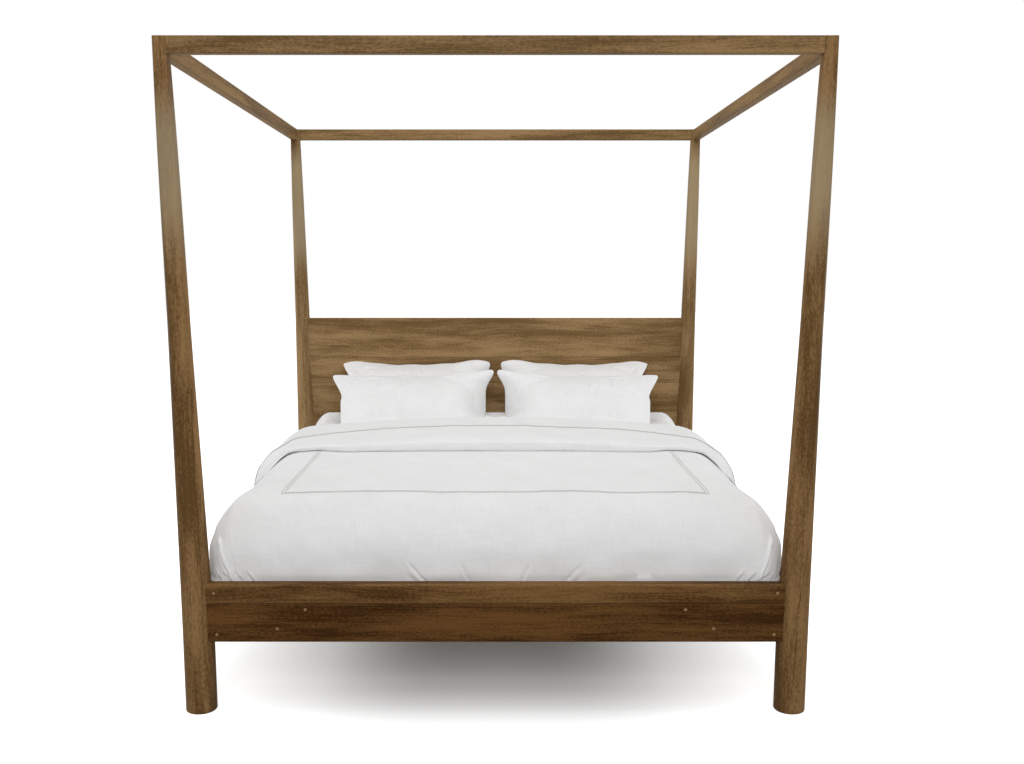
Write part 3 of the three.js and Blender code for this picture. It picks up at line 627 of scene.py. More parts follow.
def close_seams(piece: Piece, gap: float = 1e-6) -> None:
    """Merges points that share a place, and turns the faces outwards.

    Args:
        piece: The piece.
        gap: Distance up to which points are merged.
    """
    work = bmesh.new()
    work.from_mesh(piece.data)
    bmesh.ops.remove_doubles(work, verts=work.verts, dist=gap)
    bmesh.ops.recalc_face_normals(work, faces=work.faces)
    work.to_mesh(piece.data)
    work.free()
    piece.data.update()


def ripples(points: np.ndarray, wavelength: float, seed: int, count: int = 14) -> np.ndarray:
    """Works out smooth noise of about unit height: a sum of plane waves in random directions.

    Args:
        points: Points, with their coordinates along the last axis.
        wavelength: Mean length of the waves.
        seed: Seed of the random directions and phases.
        count: Number of waves.

    Returns:
        The noise at each point.
    """
    draw = np.random.default_rng(seed)
    directions = draw.normal(size=(count, points.shape[-1]))
    directions /= np.linalg.norm(directions, axis=1, keepdims=True)
    pitch = 2 * math.pi / (wavelength * draw.uniform(0.7, 1.5, count))
    phases = draw.uniform(0, 2 * math.pi, count)
    return np.sin((points @ directions.T) * pitch + phases).sum(axis=-1) / math.sqrt(count)


def wave_sum(points: np.ndarray, waves: Waves) -> np.ndarray:
    """Adds up ripples of given heights, wavelengths and seeds."""
    return sum(height * ripples(points, wavelength, seed) for height, wavelength, seed in waves)


def smooth(value: np.ndarray, start: float, end: float) -> np.ndarray:
    """Eases from 0 at start to 1 at end."""
    share = np.clip((value - start) / (end - start), 0, 1)
    return share * share * (3 - 2 * share)


def dress(piece: Piece, material: Material, slot: str, *nodes: str) -> None:
    """Gives a new piece its material, places it in the frame and reports it.

    Args:
        piece: The new piece.
        material: Its material.
        slot: The record's material slot; not used.
        *nodes: CAD nodes that it replaces.
    """
    piece.data.materials.clear()
    piece.data.materials.append(material)
    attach(piece, ROOT)
    if nodes:
        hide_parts(*nodes)
    log.info("%s: %d faces", piece.name, len(piece.data.polygons))


def displace(piece: Piece, field: Callable[[np.ndarray], np.ndarray]) -> None:
    """Moves every point of a piece along its normal by a height worked out from its place.

    Args:
        piece: The piece.
        field: Function that gives the heights at points, one line each.
    """
    mesh = piece.data
    points = np.empty(len(mesh.vertices) * 3, np.float32)
    normals = np.empty_like(points)
    mesh.vertices.foreach_get("co", points)
    mesh.vertex_normals.foreach_get("vector", normals)
    places = points.reshape(-1, 3).astype(float)
    moved = places + normals.reshape(-1, 3) * field(places)[:, None]
    mesh.vertices.foreach_set("co", moved.astype(np.float32).ravel())
    mesh.update()


def lerp(start: object, end: object, share: object) -> object:
    """Mixes two values in a straight line."""
    return start + (end - start) * share


def even_out(lines: np.ndarray, steps: int) -> None:
    """Evens out rows of values in place by averaging each with its neighbours, again and again."""
    for _ in range(steps):
        lines[1:-1] = (lines[:-2] + 2 * lines[1:-1] + lines[2:]) / 4


@dataclass(frozen=True)
class Block:
    """Skin of a soft block: a skirt, a rounded shoulder and a crowned top, drawn in to a middle line.

    Attributes:
        half_width: Distance of the sides from the middle.
        foot: Place of the foot face.
        head: Place of the head end.
        base: Height of the hem or bottom.
        top: Height of the flat top.
        foot_shoulder: Reach of the shoulder at the foot.
        head_shoulder: Reach of the shoulder at the head.
        crown: Extra height along the middle.
        closed: Whether the head end is rounded too and the bottom is there.
        corner: Radius of the corners in plan.
        power: Power of the shoulder's curve, where 2 is a circle.
        foot_squeeze: How much shorter the shoulder is in plan at the foot, as a share.
        squeeze_run: Distance from the foot over which that ends.
        foot_fall: How much lower the top is at the foot.
        fall_start: Place along the bed where the top starts to fall.
        fall_run: Distance over which it falls.
        fall_power: Power of its curve.
        bottom_radius: Radius of the bottom's edge.
        side_columns: Columns along each side.
        foot_columns: Columns along each end.
        corner_columns: Columns round each corner.
        crowding: How much closer columns stand towards the corners, as a share.
        ease_steps: How often the profile is evened out where the shoulder meets the sides and the top.
    """

    half_width: float
    foot: float
    head: float
    base: float
    top: float
    foot_shoulder: float
    head_shoulder: float
    crown: float = 0.008
    closed: bool = False
    corner: float = 0.097
    power: float = 1.4
    foot_squeeze: float = 0.0
    squeeze_run: float = 0.28
    foot_fall: float = 0.0
    fall_start: float = -0.25
    fall_run: float = 0.65
    fall_power: float = 1.2
    bottom_radius: float = 0.02
    side_columns: int = 100
    foot_columns: int = 460
    corner_columns: int = 64
    crowding: float = 0.2
    ease_steps: int = 0

    def columns(self) -> tuple[np.ndarray, np.ndarray, np.ndarray]:
        """Works out where the columns stand on the outline.

        Straight runs and corner arcs follow one another from the head's left end round the foot.

        Returns:
            The outline's sharp points, the directions in which columns draw in, and the outward directions.
        """
        width, foot, head = self.half_width, self.foot, self.head
        slope = -1.0 if self.closed else 0.0
        stops = [(-width, head), (-width, foot), (width, foot), (width, head), (-width, head)]
        draws = [(1, slope), (1, 1), (-1, 1), (-1, slope), (1, slope)]
        starts, inwards, angles = [], [], []
        for run in range(4 if self.closed else 3):
            begin, end = np.array(stops[run], float), np.array(stops[run + 1], float)
            even = np.linspace(0, 1, self.foot_columns if run % 2 else self.side_columns)
            share = (even - self.crowding * np.sin(2 * math.pi * even) / (2 * math.pi))[:, None]
            starts.append(lerp(begin, end, share))
            inwards.append(lerp(np.array(draws[run], float), np.array(draws[run + 1], float), share))
            angles.append(np.full(len(even), math.pi * (1 + run / 2)))
            if run < 2 or self.closed:
                arc = np.linspace(0, math.pi / 2, self.corner_columns + 2)[1:-1]
                starts.append(np.broadcast_to(end, (len(arc), 2)))
                inwards.append(np.broadcast_to(np.array(draws[run + 1], float), (len(arc), 2)))
                angles.append(math.pi * (1 + run / 2) + arc)
        angle = np.concatenate(angles)
        outward = np.stack([np.cos(angle), np.sin(angle)], axis=-1)
        return np.concatenate(starts), np.concatenate(inwards), outward

    def fallen(self, place: np.ndarray, height: np.ndarray) -> np.ndarray:
        """Lowers heights towards the foot, in proportion to their height over the base.

        Args:
            place: Places along the bed.
            height: Heights there.

        Returns:
            The lowered heights.
        """
        run = np.clip((self.fall_start - place) / self.fall_run, 0, 1)
        share = self.foot_fall * run**self.fall_power / (self.top - self.base)
        return self.base + (height - self.base) * (1 - share)

    def grid(self, skirt_rows: int, shoulder_rows: int, top_rows: int) -> tuple[np.ndarray, np.ndarray]:
        """Works out the skin.

        A column's point at a distance a inwards is its sharp point, plus the greater of a and the corner
        radius along its draw-in direction, plus what is left of the radius outwards. The shoulder is a
        superellipse quarter and the crown a parabola.

        Args:
            skirt_rows: Rows from the hem to the shoulder.
            shoulder_rows: Rows on the shoulder.
            top_rows: Rows from the shoulder to the middle.

        Returns:
            The points, and their cloth coordinates in metres.
        """
        start, inward, outward = self.columns()
        along = np.clip((start[:, 1] - self.foot) / (self.head - self.foot), 0, 1)
        reach = lerp(self.foot_shoulder, self.head_shoulder, along)
        squeeze = self.foot_squeeze * (1 - smooth(start[:, 1], self.foot, self.foot + self.squeeze_run))
        run = reach * (1 - squeeze)
        turn = np.linspace(0, math.pi / 2, shoulder_rows)[:, None]
        rise = np.linspace(0, 1, skirt_rows)[:-1, None]
        flat = np.linspace(0, 1, top_rows)[1:, None]
        depth = [np.zeros((skirt_rows - 1, len(reach))), run * (1 - np.cos(turn) ** (2 / self.power))]
        depth.append(lerp(run, self.half_width, flat))
        brow = self.top - reach
        height = [lerp(self.base, brow, rise), brow + reach * np.sin(turn) ** (2 / self.power)]
        height.append(self.top + self.crown * (1 - (1 - flat) ** 2) + 0 * reach)
        if self.closed:
            edge = self.bottom_radius
            under = np.linspace(1, 0.04, 9)[:, None] * (self.half_width - edge) + edge + 0 * reach
            bend = np.linspace(0, math.pi / 2, 5)[:-1, None] + 0 * reach
            depth[:0] = [under, edge * (1 - np.sin(bend))]
            height[:0] = [self.base + 0 * under, self.base + edge * (1 - np.cos(bend))]
            height[2] = np.maximum(height[2], self.base + edge)
        depth, height = np.concatenate(depth), np.concatenate(height)
        even_out(depth, self.ease_steps)
        even_out(height, self.ease_steps)
        depth = depth[..., None]
        plan = start + np.maximum(depth, self.corner) * inward + np.maximum(self.corner - depth, 0) * outward
        points = np.concatenate([plan, self.fallen(plan[..., 1], height)[..., None]], axis=-1)
        steps = np.linalg.norm(np.diff(points, axis=0), axis=-1)
        sides = len(points) - top_rows
        climbs = np.cumsum(steps[:sides][::-1], axis=0)[::-1]
        drop = np.concatenate([climbs, np.zeros((top_rows, len(reach)))])
        laid = np.concatenate([np.broadcast_to(plan[sides], (sides, *plan.shape[1:])), plan[sides:]])
        cloth = laid + drop[..., None] * outward
        return points, cloth


@dataclass(frozen=True)
class Crease:
    """A crease in cloth along a line of points: a valley with a ridge beside it.

    Attributes:
        path: Points of the line on the right side of the bed.
        width: Half width of the valley.
        valley: Depth of the valley.
        ridge: Height of the ridge.
        side: Direction from the line towards the ridge.
        ease: Share of the line over which the crease grows to its full form.
        ridge_place: Distance of the ridge from the line, in half widths.
        ridge_width: Half width of the ridge, in half widths of the valley.
    """

    path: tuple[Point, ...]
    width: float
    valley: float
    ridge: float
    side: Point
    ease: float = 0.45
    ridge_place: float = 1.7
    ridge_width: float = 1.2

    def height(self, points: np.ndarray, side: Side) -> np.ndarray:
        """Works out the crease's height: two bell curves of the distance from the line, easing in along it.

        Args:
            points: Points in the row frame, one line each.
            side: Side of the bed on which the crease lies.

        Returns:
            The height at each point.
        """
        path, towards = np.array(self.path, float), np.array(self.side, float)
        path[:, 0] *= side.value
        towards[0] *= side.value
        start, step = path[:-1], np.diff(path, axis=0)
        share = ((points[:, None] - start) * step).sum(-1) / (step * step).sum(-1)
        held = np.clip(share, 0, 1)
        away = points[:, None] - (start + held[..., None] * step)
        distance = np.linalg.norm(away, axis=-1)
        near = distance.argmin(axis=1)[:, None]
        reach = np.take_along_axis(distance, near, 1)[:, 0]
        along = np.take_along_axis(held, near, 1)[:, 0] + near[:, 0]
        offset = np.take_along_axis(away, near[..., None], 1)[:, 0] @ (towards / np.linalg.norm(towards))
        signed = np.where(offset >= 0, reach, -reach)
        valley = self.valley * np.exp(-((signed / self.width) ** 2))
        past = (signed - self.ridge_place * self.width) / (self.ridge_width * self.width)
        return (self.ridge * np.exp(-(past**2)) - valley) * smooth(along / len(step), 0.0, self.ease)


INWARD = (-1.0, -0.2, 0.3)
OUTWARD = (1.0, -0.2, 0.4)

CORNER_PLEAT = Crease(
    (
        (0.945, -0.967, 0.65), (0.936, -0.985, 0.625), (0.922, -1.006, 0.58), (0.913, -1.017, 0.535),
        (0.902, -1.022, 0.499), (0.889, -1.0247, 0.468), (0.876, -1.0247, 0.43),
    ),
    0.0034, 0.0085, 0.011, INWARD, 0.08,
)
LONG_CREASE = Crease(
    (
        (0.315, -1.015, 0.535), (0.29, -1.02, 0.502), (0.268, -1.024, 0.479), (0.248, -1.025, 0.453),
        (0.222, -1.025, 0.43),
    ),
    0.0042, 0.008, 0.0015, OUTWARD,
)
CREASE_BESIDE = Crease(((0.305, -1.025, 0.475), (0.265, -1.025, 0.435)), 0.007, 0.0035, 0.0, OUTWARD)
SHORT_CREASE = Crease(
    ((0.12, -1.02, 0.51), (0.105, -1.025, 0.479), (0.093, -1.025, 0.449), (0.086, -1.025, 0.43)),
    0.0046, 0.0065, 0.003, OUTWARD,
)
FAN_LINES = (
    ((0.947, -0.995, 0.498), (0.938, -1.004, 0.47), (0.925, -1.012, 0.447), (0.918, -1.016, 0.43)),
    ((0.916, -1.016, 0.469), (0.897, -1.023, 0.454), (0.88, -1.025, 0.44)),
    ((0.87, -1.025, 0.473), (0.843, -1.025, 0.437)),
    ((0.832, -1.025, 0.476), (0.805, -1.025, 0.437)),
)
FAN_CREASES = tuple(Crease(line, 0.0048, 0.006, 0.003, INWARD) for line in FAN_LINES)


@dataclass
class Duvet:
    """The duvet: its body over the mattress, the turned-back fold, and the stitched lines.

    Attributes:
        body: Skin of the body.
        lining: Skin of its underside.
        fold_front: Place of the fold's lower edge in the middle.
        fold_back: Place of the fold's back.
        fold_hem: Height of the fold's side hem.
        fold_width: Half width of the fold.
        fold_flat: Half width of the fold's top.
        fold_top: Height of the fold in the middle.
        fold_droop: How fast the fold's top falls off sideways, per metre.
        fold_side: Height at which the fold's shoulder meets its side.
        fold_run: Distance from the lower edge to the crest.
        fold_back_run: Distance from the crest to the back.
        fold_nose: How far the roll stands out in front of its lower edge.
        fold_lip: Share of the way to its outline at the roll's hidden lip and at its nose.
        fold_power: Power of the curve from the nose to the crest.
        fold_end: Length over which the side hem is rounded.
        drape: Distances from the middle between which the roll flattens into a drape.
        drape_sink: Share by which the drape's lip is sunk into the body.
        lift: Share by which the fold lifts off the body where roll and drape meet.
        lift_span: Distances from the middle where it starts to lift, has lifted, starts to settle and lies.
        bow: How far the fold's lower edge runs back beside its middle, and forwards at its hem.
        hem_line: The fold's seam line: pairs of a height and the place along the bed there.
        border_side: Place of the border's outer line on each side, at the fold and at the foot.
        border_foot: Place of the border's outer line at the foot.
        border_gap: Distance between the two lines.
        border_bow: How far the side lines and the foot line bow inwards between their ends.
        border_from: Height from which the border is laid down on the body.
        hem_from: Distance from which the hem seam is laid on the fold.
        stitch_size: Half the width of a border line, and how far it stands proud.
        hem_size: The same for the hem seam.
        creases: Creases of the front face and its corners, which lie on both sides of the bed.
        body_waves: Height, length and seed of the body's broad and fine waves.
        fold_waves: The same for the fold.
        gathers: The same for the gathers above the footboard.
        drawn_in: How far the cloth is drawn in beside the posts, and where it is tucked in.
        lowest: Deepest that the cloth sinks under its plain form.
        highest: Highest that it rises over it.
        loft: Share of the duvet's volume that is filling.
    """

    groups: Groups
    body: Block = Block(
        0.974, -1.0247, 0.372, 0.429, 0.745, 0.204, 0.154, foot_squeeze=0.34, foot_fall=0.022, ease_steps=70
    )
    lining: Block = Block(0.966, -1.0135, 0.372, 0.429, 0.7164, 0.175, 0.125, crown=0.004)
    fold_front: float = -0.3
    fold_back: float = 0.384
    fold_hem: float = 0.545
    fold_width: float = 0.99
    fold_flat: float = 0.8
    fold_top: float = 0.8066
    fold_droop: float = 0.066
    fold_side: float = 0.58
    fold_run: float = 0.29
    fold_back_run: float = 0.14
    fold_nose: float = 0.017
    fold_lip: Pair = (-0.03, 0.58)
    fold_power: float = 12.0
    fold_end: float = 0.045
    drape: Pair = (0.77, 0.93)
    drape_sink: float = 0.05
    lift: float = 0.18
    lift_span: tuple[float, float, float, float] = (0.79, 0.86, 0.87, 0.925)
    bow: Pair = (0.035, 0.11)
    hem_line: tuple[Pair, ...] = (
        (0.545, -0.25), (0.6, -0.205), (0.64, -0.15), (0.672, -0.11),
        (0.7, -0.08), (0.74, -0.058), (0.765, -0.04), (0.785, -0.008),
    )
    border_side: Pair = (0.707, 0.726)
    border_foot: float = -0.909
    border_gap: float = 0.0105
    border_bow: Pair = (0.009, 0.016)
    border_from: float = 0.85
    hem_from: float = 0.04
    stitch_size: Pair = (0.0013, 0.001)
    hem_size: Pair = (0.0035, 0.0036)
    creases: tuple[Crease, ...] = (CORNER_PLEAT, LONG_CREASE, CREASE_BESIDE, SHORT_CREASE, *FAN_CREASES)
    body_waves: Waves = ((0.0022, 0.34, 3), (0.0007, 0.09, 5))
    fold_waves: Waves = ((0.0016, 0.3, 11), (0.0006, 0.07, 12))
    gathers: Waves = ((0.006, 0.22, 8),)
    drawn_in: Pair = (0.004, 0.0045)
    lowest: float = -0.0085
    highest: float = 0.012
    loft: float = 0.4

    def build(self) -> None:
        """Builds and dresses every piece of the duvet."""
        linen = WASHED_LINEN.material(self.groups)
        body, fold = self.build_body(), self.build_fold()
        for piece in (body, fold):
            dress(piece, linen, "linen", "duvet")
        thread = THREAD_GREY.material(self.groups)
        for name, (line, aims, laid_on) in self.stitch_lines(body, fold).items():
            size = self.hem_size if laid_on is fold else self.stitch_size
            dress(self.build_stitch(name, line, aims, laid_on, size), thread, "linen", "duvet")

    def body_height(self, points: np.ndarray) -> np.ndarray:
        """Works out how far the cloth stands off its plain form.

        Soft waves, gathers above the footboard and the creases add up. Beside the posts and where the cloth
        is tucked in at the foot it is drawn in. It lies still near the fold and at the hem.

        Args:
            points: Points in the row frame, one line each.

        Returns:
            The height at each point.
        """
        across, forward, up = np.abs(points[:, 0]), -points[:, 1], points[:, 2]
        at_front = smooth(forward, 0.9, 1.0)
        waves = wave_sum(points, self.body_waves)
        gathers = wave_sum(points, self.gathers) * smooth(-up, -0.56, -0.44) * at_front
        creased = sum(crease.height(points, side) for side in Side for crease in self.creases)
        at_post = smooth(across, 0.93, 0.955) * smooth(forward, 0.78, 0.88) * (1 - smooth(up, 0.58, 0.62))
        tucked = smooth(-up, -0.466, -0.436) * at_front
        height = waves + gathers + creased - self.drawn_in[0] * at_post - self.drawn_in[1] * tucked
        held = np.where(height > 0, smooth(up, 0.438, 0.45), smooth(up, 0.43, 0.436))
        return np.clip(height, self.lowest, self.highest) * smooth(forward, 0.3, 0.45) * held

    def build_body(self) -> Piece:
        """Builds the body: an outer skin and a lining, joined at the hem and at the head end.

        Returns:
            The body.
        """
        outer, cloth = self.body.grid(20, 50, 40)
        inner, inner_cloth = self.lining.grid(3, 9, 6)
        rows, columns = outer.shape[:2]
        under = len(inner)
        count = rows * columns
        faces = grid_quads(rows, columns)[:, ::-1]
        lining_faces = grid_quads(under, columns) + count
        across = np.arange(columns - 1)
        hem = np.stack([across, across + 1, across + 1 + count, across + count], axis=-1)
        faces = np.concatenate([faces, lining_faces, hem]).tolist()
        for column in (0, columns - 1):
            ring = [row * columns + column for row in range(rows)]
            ring += [count + row * columns + column for row in range(under)][::-1]
            faces.append(ring)
        points = np.concatenate([outer.reshape(-1, 3), inner.reshape(-1, 3)])
        both = np.concatenate([cloth.reshape(-1, 2), inner_cloth.reshape(-1, 2)])
        piece = make_piece("duvet_body", points, faces, both)
        close_seams(piece, 1e-5)
        displace(piece, self.body_height)
        return piece

    def section(self, form: Block, places: np.ndarray) -> np.ndarray:
        """Works out a block's cross-sections from the left hem to the middle.

        Args:
            form: The block.
            places: Places along the bed.

        Returns:
            Points X and Z, places by points by 2.
        """
        share = (np.minimum(places, form.head) - form.foot) / (form.head - form.foot)
        reach = lerp(form.foot_shoulder, form.head_shoulder, share)[:, None]
        rise, turn, flat = self.section_steps()
        width, brow = form.half_width, form.top - reach
        depth = [0 * rise + 0 * reach, reach * (1 - np.cos(turn) ** (2 / form.power))]
        depth.append(lerp(reach, width, flat))
        height = [lerp(self.fold_hem, brow, rise), brow + reach * np.sin(turn) ** (2 / form.power)]
        height.append(form.top + form.crown * (1 - (1 - flat) ** 2) + 0 * reach)
        line = np.stack([np.concatenate(depth, axis=1) - width, np.concatenate(height, axis=1)])
        even_out(line.T, round(0.46 * form.ease_steps))
        return np.moveaxis(line, 0, -1)

    def section_steps(self) -> tuple[np.ndarray, np.ndarray, np.ndarray]:
        """Gives the steps up the side, round the shoulder and over the top of a cross-section."""
        return np.linspace(0, 1, 10)[:-1], np.linspace(0, math.pi / 2, 34), np.linspace(0, 1, 60)[1:]

    def fold_section(self) -> np.ndarray:
        """Works out the fold's outer cross-section: side, round shoulder and parabolic top.

        Returns:
            Points X and Z, from the left hem to the middle.
        """
        rise, turn, flat = self.section_steps()
        edge = self.fold_top - self.fold_droop * self.fold_flat**2
        x = [0 * rise - self.fold_width, lerp(-self.fold_width, -self.fold_flat, 1 - np.cos(turn))]
        x.append(-self.fold_flat * (1 - flat))
        z = [lerp(self.fold_hem, self.fold_side, rise), lerp(self.fold_side, edge, np.sin(turn))]
        z.append(self.fold_top - self.fold_droop * x[-1] ** 2)
        return np.stack([np.concatenate(x), np.concatenate(z)], axis=-1)

    def build_fold(self) -> Piece:
        """Builds the fold as a closed roll between the body's cross-sections and its own.

        Its profile runs under the nose, up a superellipse to the crest, round the back to the mattress
        and home along the underside. Each point is a share of the way from the body to the fold's outline.
        Towards the sides the roll flattens into a drape, and where both meet it lifts off the body.

        Returns:
            The fold.
        """
        front, back, crest = self.fold_front, self.fold_back, self.fold_front + self.fold_run
        nose = front - self.fold_nose
        bend = np.linspace(0, math.pi / 2, 12)
        lip_y = front - self.fold_nose * np.sin(bend)
        climb = nose + (crest - nose) * (1 - np.cos(np.linspace(0, math.pi / 2, 46)))[1:]
        top_y = np.unique(np.concatenate([climb, np.linspace(crest, back - self.fold_back_run, 20)]))
        sweep = np.linspace(0, math.pi / 2, 20)[1:]
        back_y = back - self.fold_back_run * (1 - np.sin(sweep))
        under_y = np.concatenate([[back - 0.009, back - 0.0105], np.linspace(back - 0.03, front, 26)[:-1]])
        places = np.concatenate([lip_y, top_y, back_y, under_y])
        body, lining = self.section(self.body, places), self.section(self.lining, places)
        outer = np.broadcast_to(self.fold_section(), body.shape)
        steps = np.linalg.norm(np.diff(outer[0], axis=0), axis=-1)
        run = np.concatenate([[0], np.cumsum(steps)])
        across = np.abs(outer[0, :, 0])
        shift = self.bow[0] * smooth(across, 0.6, 0.71) - self.bow[1] * smooth(-run, -0.28, -0.18)
        weight = np.clip((crest - places) / self.fold_run, 0, 1.08)[:, None] ** 1.5
        depth = places[:, None] + shift * weight
        body[..., 1] = self.body.fallen(depth, body[..., 1])
        climbed = np.clip((top_y - nose) / (crest - nose), 0, 1)
        share = self.fold_share(1 - np.cos(bend), climbed, len(back_y), len(under_y), run, across)
        begin, lifted, settle, lie = self.lift_span
        gap = self.lift * smooth(across, begin, lifted) * (1 - smooth(across, settle, lie))
        round_hem = np.sqrt(1 - (1 - np.clip(run / self.fold_end, 0.04, 1)) ** 2)
        share = share * round_hem + gap * smooth(-places, 0.2, -front)[:, None] * (1 - share)
        turned = slice(len(lip_y) + len(top_y), len(lip_y) + len(top_y) + len(back_y))
        points = body + (outer - body) * share[..., None]
        points[turned] = lining[turned] + (points[turned] - lining[turned]) * np.cos(sweep)[:, None, None]
        points[turned.stop] = lining[turned.stop]
        return self.roll_up(np.stack([points[..., 0], depth, points[..., 1]], axis=-1), run)

    def roll_up(self, left: np.ndarray, run: np.ndarray) -> Piece:
        """Mirrors the fold's left half to the right, closes both ends and makes the piece.

        Args:
            left: Points of the left half, rows round the roll by points from the hem to the middle.
            run: Length along the outline from the hem, for each point of a row.

        Returns:
            The fold.
        """
        grid = np.concatenate([left, left[:, -2::-1] * np.array([-1, 1, 1])], axis=1)
        ring = np.concatenate([[0], np.cumsum(np.linalg.norm(np.diff(left[:, -1], axis=0), axis=-1))])
        girth = np.concatenate([run - run[-1], (run[-1] - run)[-2::-1]])
        cloth = np.stack(np.broadcast_arrays(girth, ring[:, None]), axis=-1)
        rows, columns = grid.shape[:2]
        faces = grid_quads(rows, columns, loop_rows=True).tolist()
        left_end = [row * columns for row in range(rows)]
        faces += [left_end, [corner + columns - 1 for corner in left_end][::-1]]
        piece = make_piece("duvet_fold", grid, faces, cloth)
        close_seams(piece)
        displace(piece, self.fold_height)
        return piece

    def fold_share(
        self,
        curl: np.ndarray,
        climbed: np.ndarray,
        back: int,
        under: int,
        run: np.ndarray,
        across: np.ndarray,
    ) -> np.ndarray:
        """Works out how far points of the fold stand on their way from the body to the fold's outline.

        In the roll the share grows along a cosine to the nose and along a superellipse to the crest. In the
        drape it grows with the square of the way to the crest. The underside lies just inside the body.

        Args:
            curl: Growth of the lip, from 0 at its hidden end to 1 at the nose.
            climbed: Share of the way from the nose to the crest, for the rows on top.
            back: Number of rows round the back.
            under: Number of rows along the underside.
            run: Length along the outline from the hem, for each point of a row.
            across: Distance of each point of a row from the middle.

        Returns:
            The shares, rows by points.
        """
        sunk, nose = self.fold_lip
        rest = np.concatenate([np.ones(back), np.full(under, sunk)])
        over = lerp(nose, 1.0, np.sqrt(1 - (1 - climbed) ** self.fold_power))
        rolled = [lerp(sunk, nose, curl), over, rest]
        full = lerp(0.6, 1.0, smooth(run, 0.08, 0.26))
        lip = self.drape_sink * (curl[:, None] - 1) + 0 * run
        draped = [lip, np.clip(climbed[:, None] / full, 0, 1) ** 2, rest[:, None] + 0 * run]
        return lerp(np.concatenate(rolled)[:, None], np.concatenate(draped), smooth(across, *self.drape))

    def fold_height(self, points: np.ndarray) -> np.ndarray:
        """Works out the fold's soft waves, which stop at the underside and the back."""
        calm = smooth(points[:, 2], 0.53, 0.6) * smooth(-points[:, 1], -0.36, -0.2)
        return calm * wave_sum(points, self.fold_waves)

    def stitch_lines(self, body: Piece, fold: Piece) -> dict[str, tuple[np.ndarray, np.ndarray, Piece]]:
        """Gives the stitched lines: a double border on the body and the hem seam on the fold.

        Args:
            body: The duvet's body.
            fold: Its fold.

        Returns:
            For each line its points clear of the surface, the directions to the surface, and the piece.
        """
        lines = {}
        down = np.array([0.0, 0.0, -1.0])
        near, far = self.border_foot, self.fold_front + 0.045
        for number, inset in enumerate((0.0, self.border_gap)):
            y = np.linspace(near + inset / 2, far, 170)
            share = (y - near) / (far - near)
            x = lerp(self.border_side[1], self.border_side[0], share) - inset
            x -= self.border_bow[0] * np.sin(math.pi * share**0.8)
            for name, sign in (("left", -1), ("right", 1)):
                line = np.stack([sign * x, y, np.full_like(y, self.border_from)], axis=-1)
                lines[f"border_stitch_{name}_{number + 1}"] = (line, down, body)
            across = np.linspace(-x[0], x[0], 300)
            bowed = y[0] + self.border_bow[1] * (1 - np.abs(across / x[0]) ** 12)
            line = np.stack([across, bowed, np.full_like(across, self.border_from)], axis=-1)
            lines[f"border_stitch_foot_{number + 1}"] = (line, down, body)
        half = self.fold_section()[2:]
        section = np.concatenate([half, half[-2::-1] * np.array([-1, 1])])
        along = np.gradient(section, axis=0)
        normal = np.stack([-along[:, 1], along[:, 0]], axis=-1) / np.linalg.norm(along, axis=1, keepdims=True)
        clear = section + normal * self.hem_from
        place = np.interp(section[:, 1], *zip(*self.hem_line))
        line = np.stack([clear[:, 0], place, clear[:, 1]], axis=-1)
        aims = np.stack([-normal[:, 0], 0 * place, -normal[:, 1]], axis=-1)
        lines["hem_seam"] = (line, aims, fold)
        return lines

    def build_stitch(
        self, name: str, line: np.ndarray, aims: np.ndarray, laid_on: Piece, size: Pair
    ) -> Piece:
        """Builds one stitched line as a low ridge laid on a piece.

        Args:
            name: Name of the line.
            line: Points clear of the surface.
            aims: Directions from them to the surface.
            laid_on: The piece that it lies on.
            size: Half its width, and how far it stands proud.

        Returns:
            The line of stitches, a closed strip with a domed top.
        """
        aims = np.broadcast_to(aims, line.shape)
        along = np.gradient(line, axis=0)
        side = np.cross(along, aims)
        side /= np.linalg.norm(side, axis=1, keepdims=True)
        share = np.array([-1.0, -0.55, 0.0, 0.55, 1.0])
        start = line[:, None] + side[:, None] * share[:, None] * size[0]
        tree = BVHTree.FromObject(laid_on, bpy.context.evaluated_depsgraph_get())
        rays = zip(start.reshape(-1, 3), np.repeat(aims, len(share), axis=0))
        found = [tree.ray_cast(Vector(place), Vector(aim)) for place, aim in rays]
        ground = np.array([hit[0] for hit in found]).reshape(start.shape)
        normal = np.array([hit[1] for hit in found]).reshape(start.shape)
        top = ground + normal * (size[1] * np.sqrt(1 - 0.8 * share**2))[:, None]
        under = ground - normal * size[1]
        ring = np.concatenate([top, under[:, ::-1]], axis=1)
        rows, columns = ring.shape[:2]
        faces = grid_quads(rows, columns, loop_columns=True).tolist()
        faces += end_faces(rows, columns)
        length = np.concatenate([[0], np.cumsum(np.linalg.norm(np.diff(line, axis=0), axis=1))])
        cloth = np.stack(np.broadcast_arrays(length[:, None], np.arange(columns) * 0.001), axis=-1)
        piece = make_piece(name, ring, faces, cloth)
        close_seams(piece, 1e-7)
        return piece


@dataclass
class Mattress:
    """The mattress in its fitted sheet.

    Attributes:
        form: Skin of the mattress.
        head_rise: How much higher its head end stands, where no pillow presses it down.
    """

    groups: Groups
    form: Block = Block(0.965, -1.012, 1.018, 0.395, 0.715, 0.175, 0.118, crown=0.002, closed=True)
    head_rise: float = 0.021

    def build(self) -> None:
        """Builds and dresses the mattress."""
        points, cloth = self.form.grid(8, 26, 14)
        faces = grid_quads(*points.shape[:2], loop_columns=True).tolist()
        piece = make_piece("mattress_sheeted", points, faces, cloth)
        close_seams(piece, 1e-5)
        displace(piece, self.swell)
        dress(piece, COTTON_SHEET.material(self.groups), "sheet", "mattress")

    def swell(self, points: np.ndarray) -> np.ndarray:
        """Works out how far the head end, which no pillow presses down, stands higher."""
        return self.head_rise * smooth(points[:, 1], 0.72, 0.86) * smooth(points[:, 2], 0.66, 0.71)


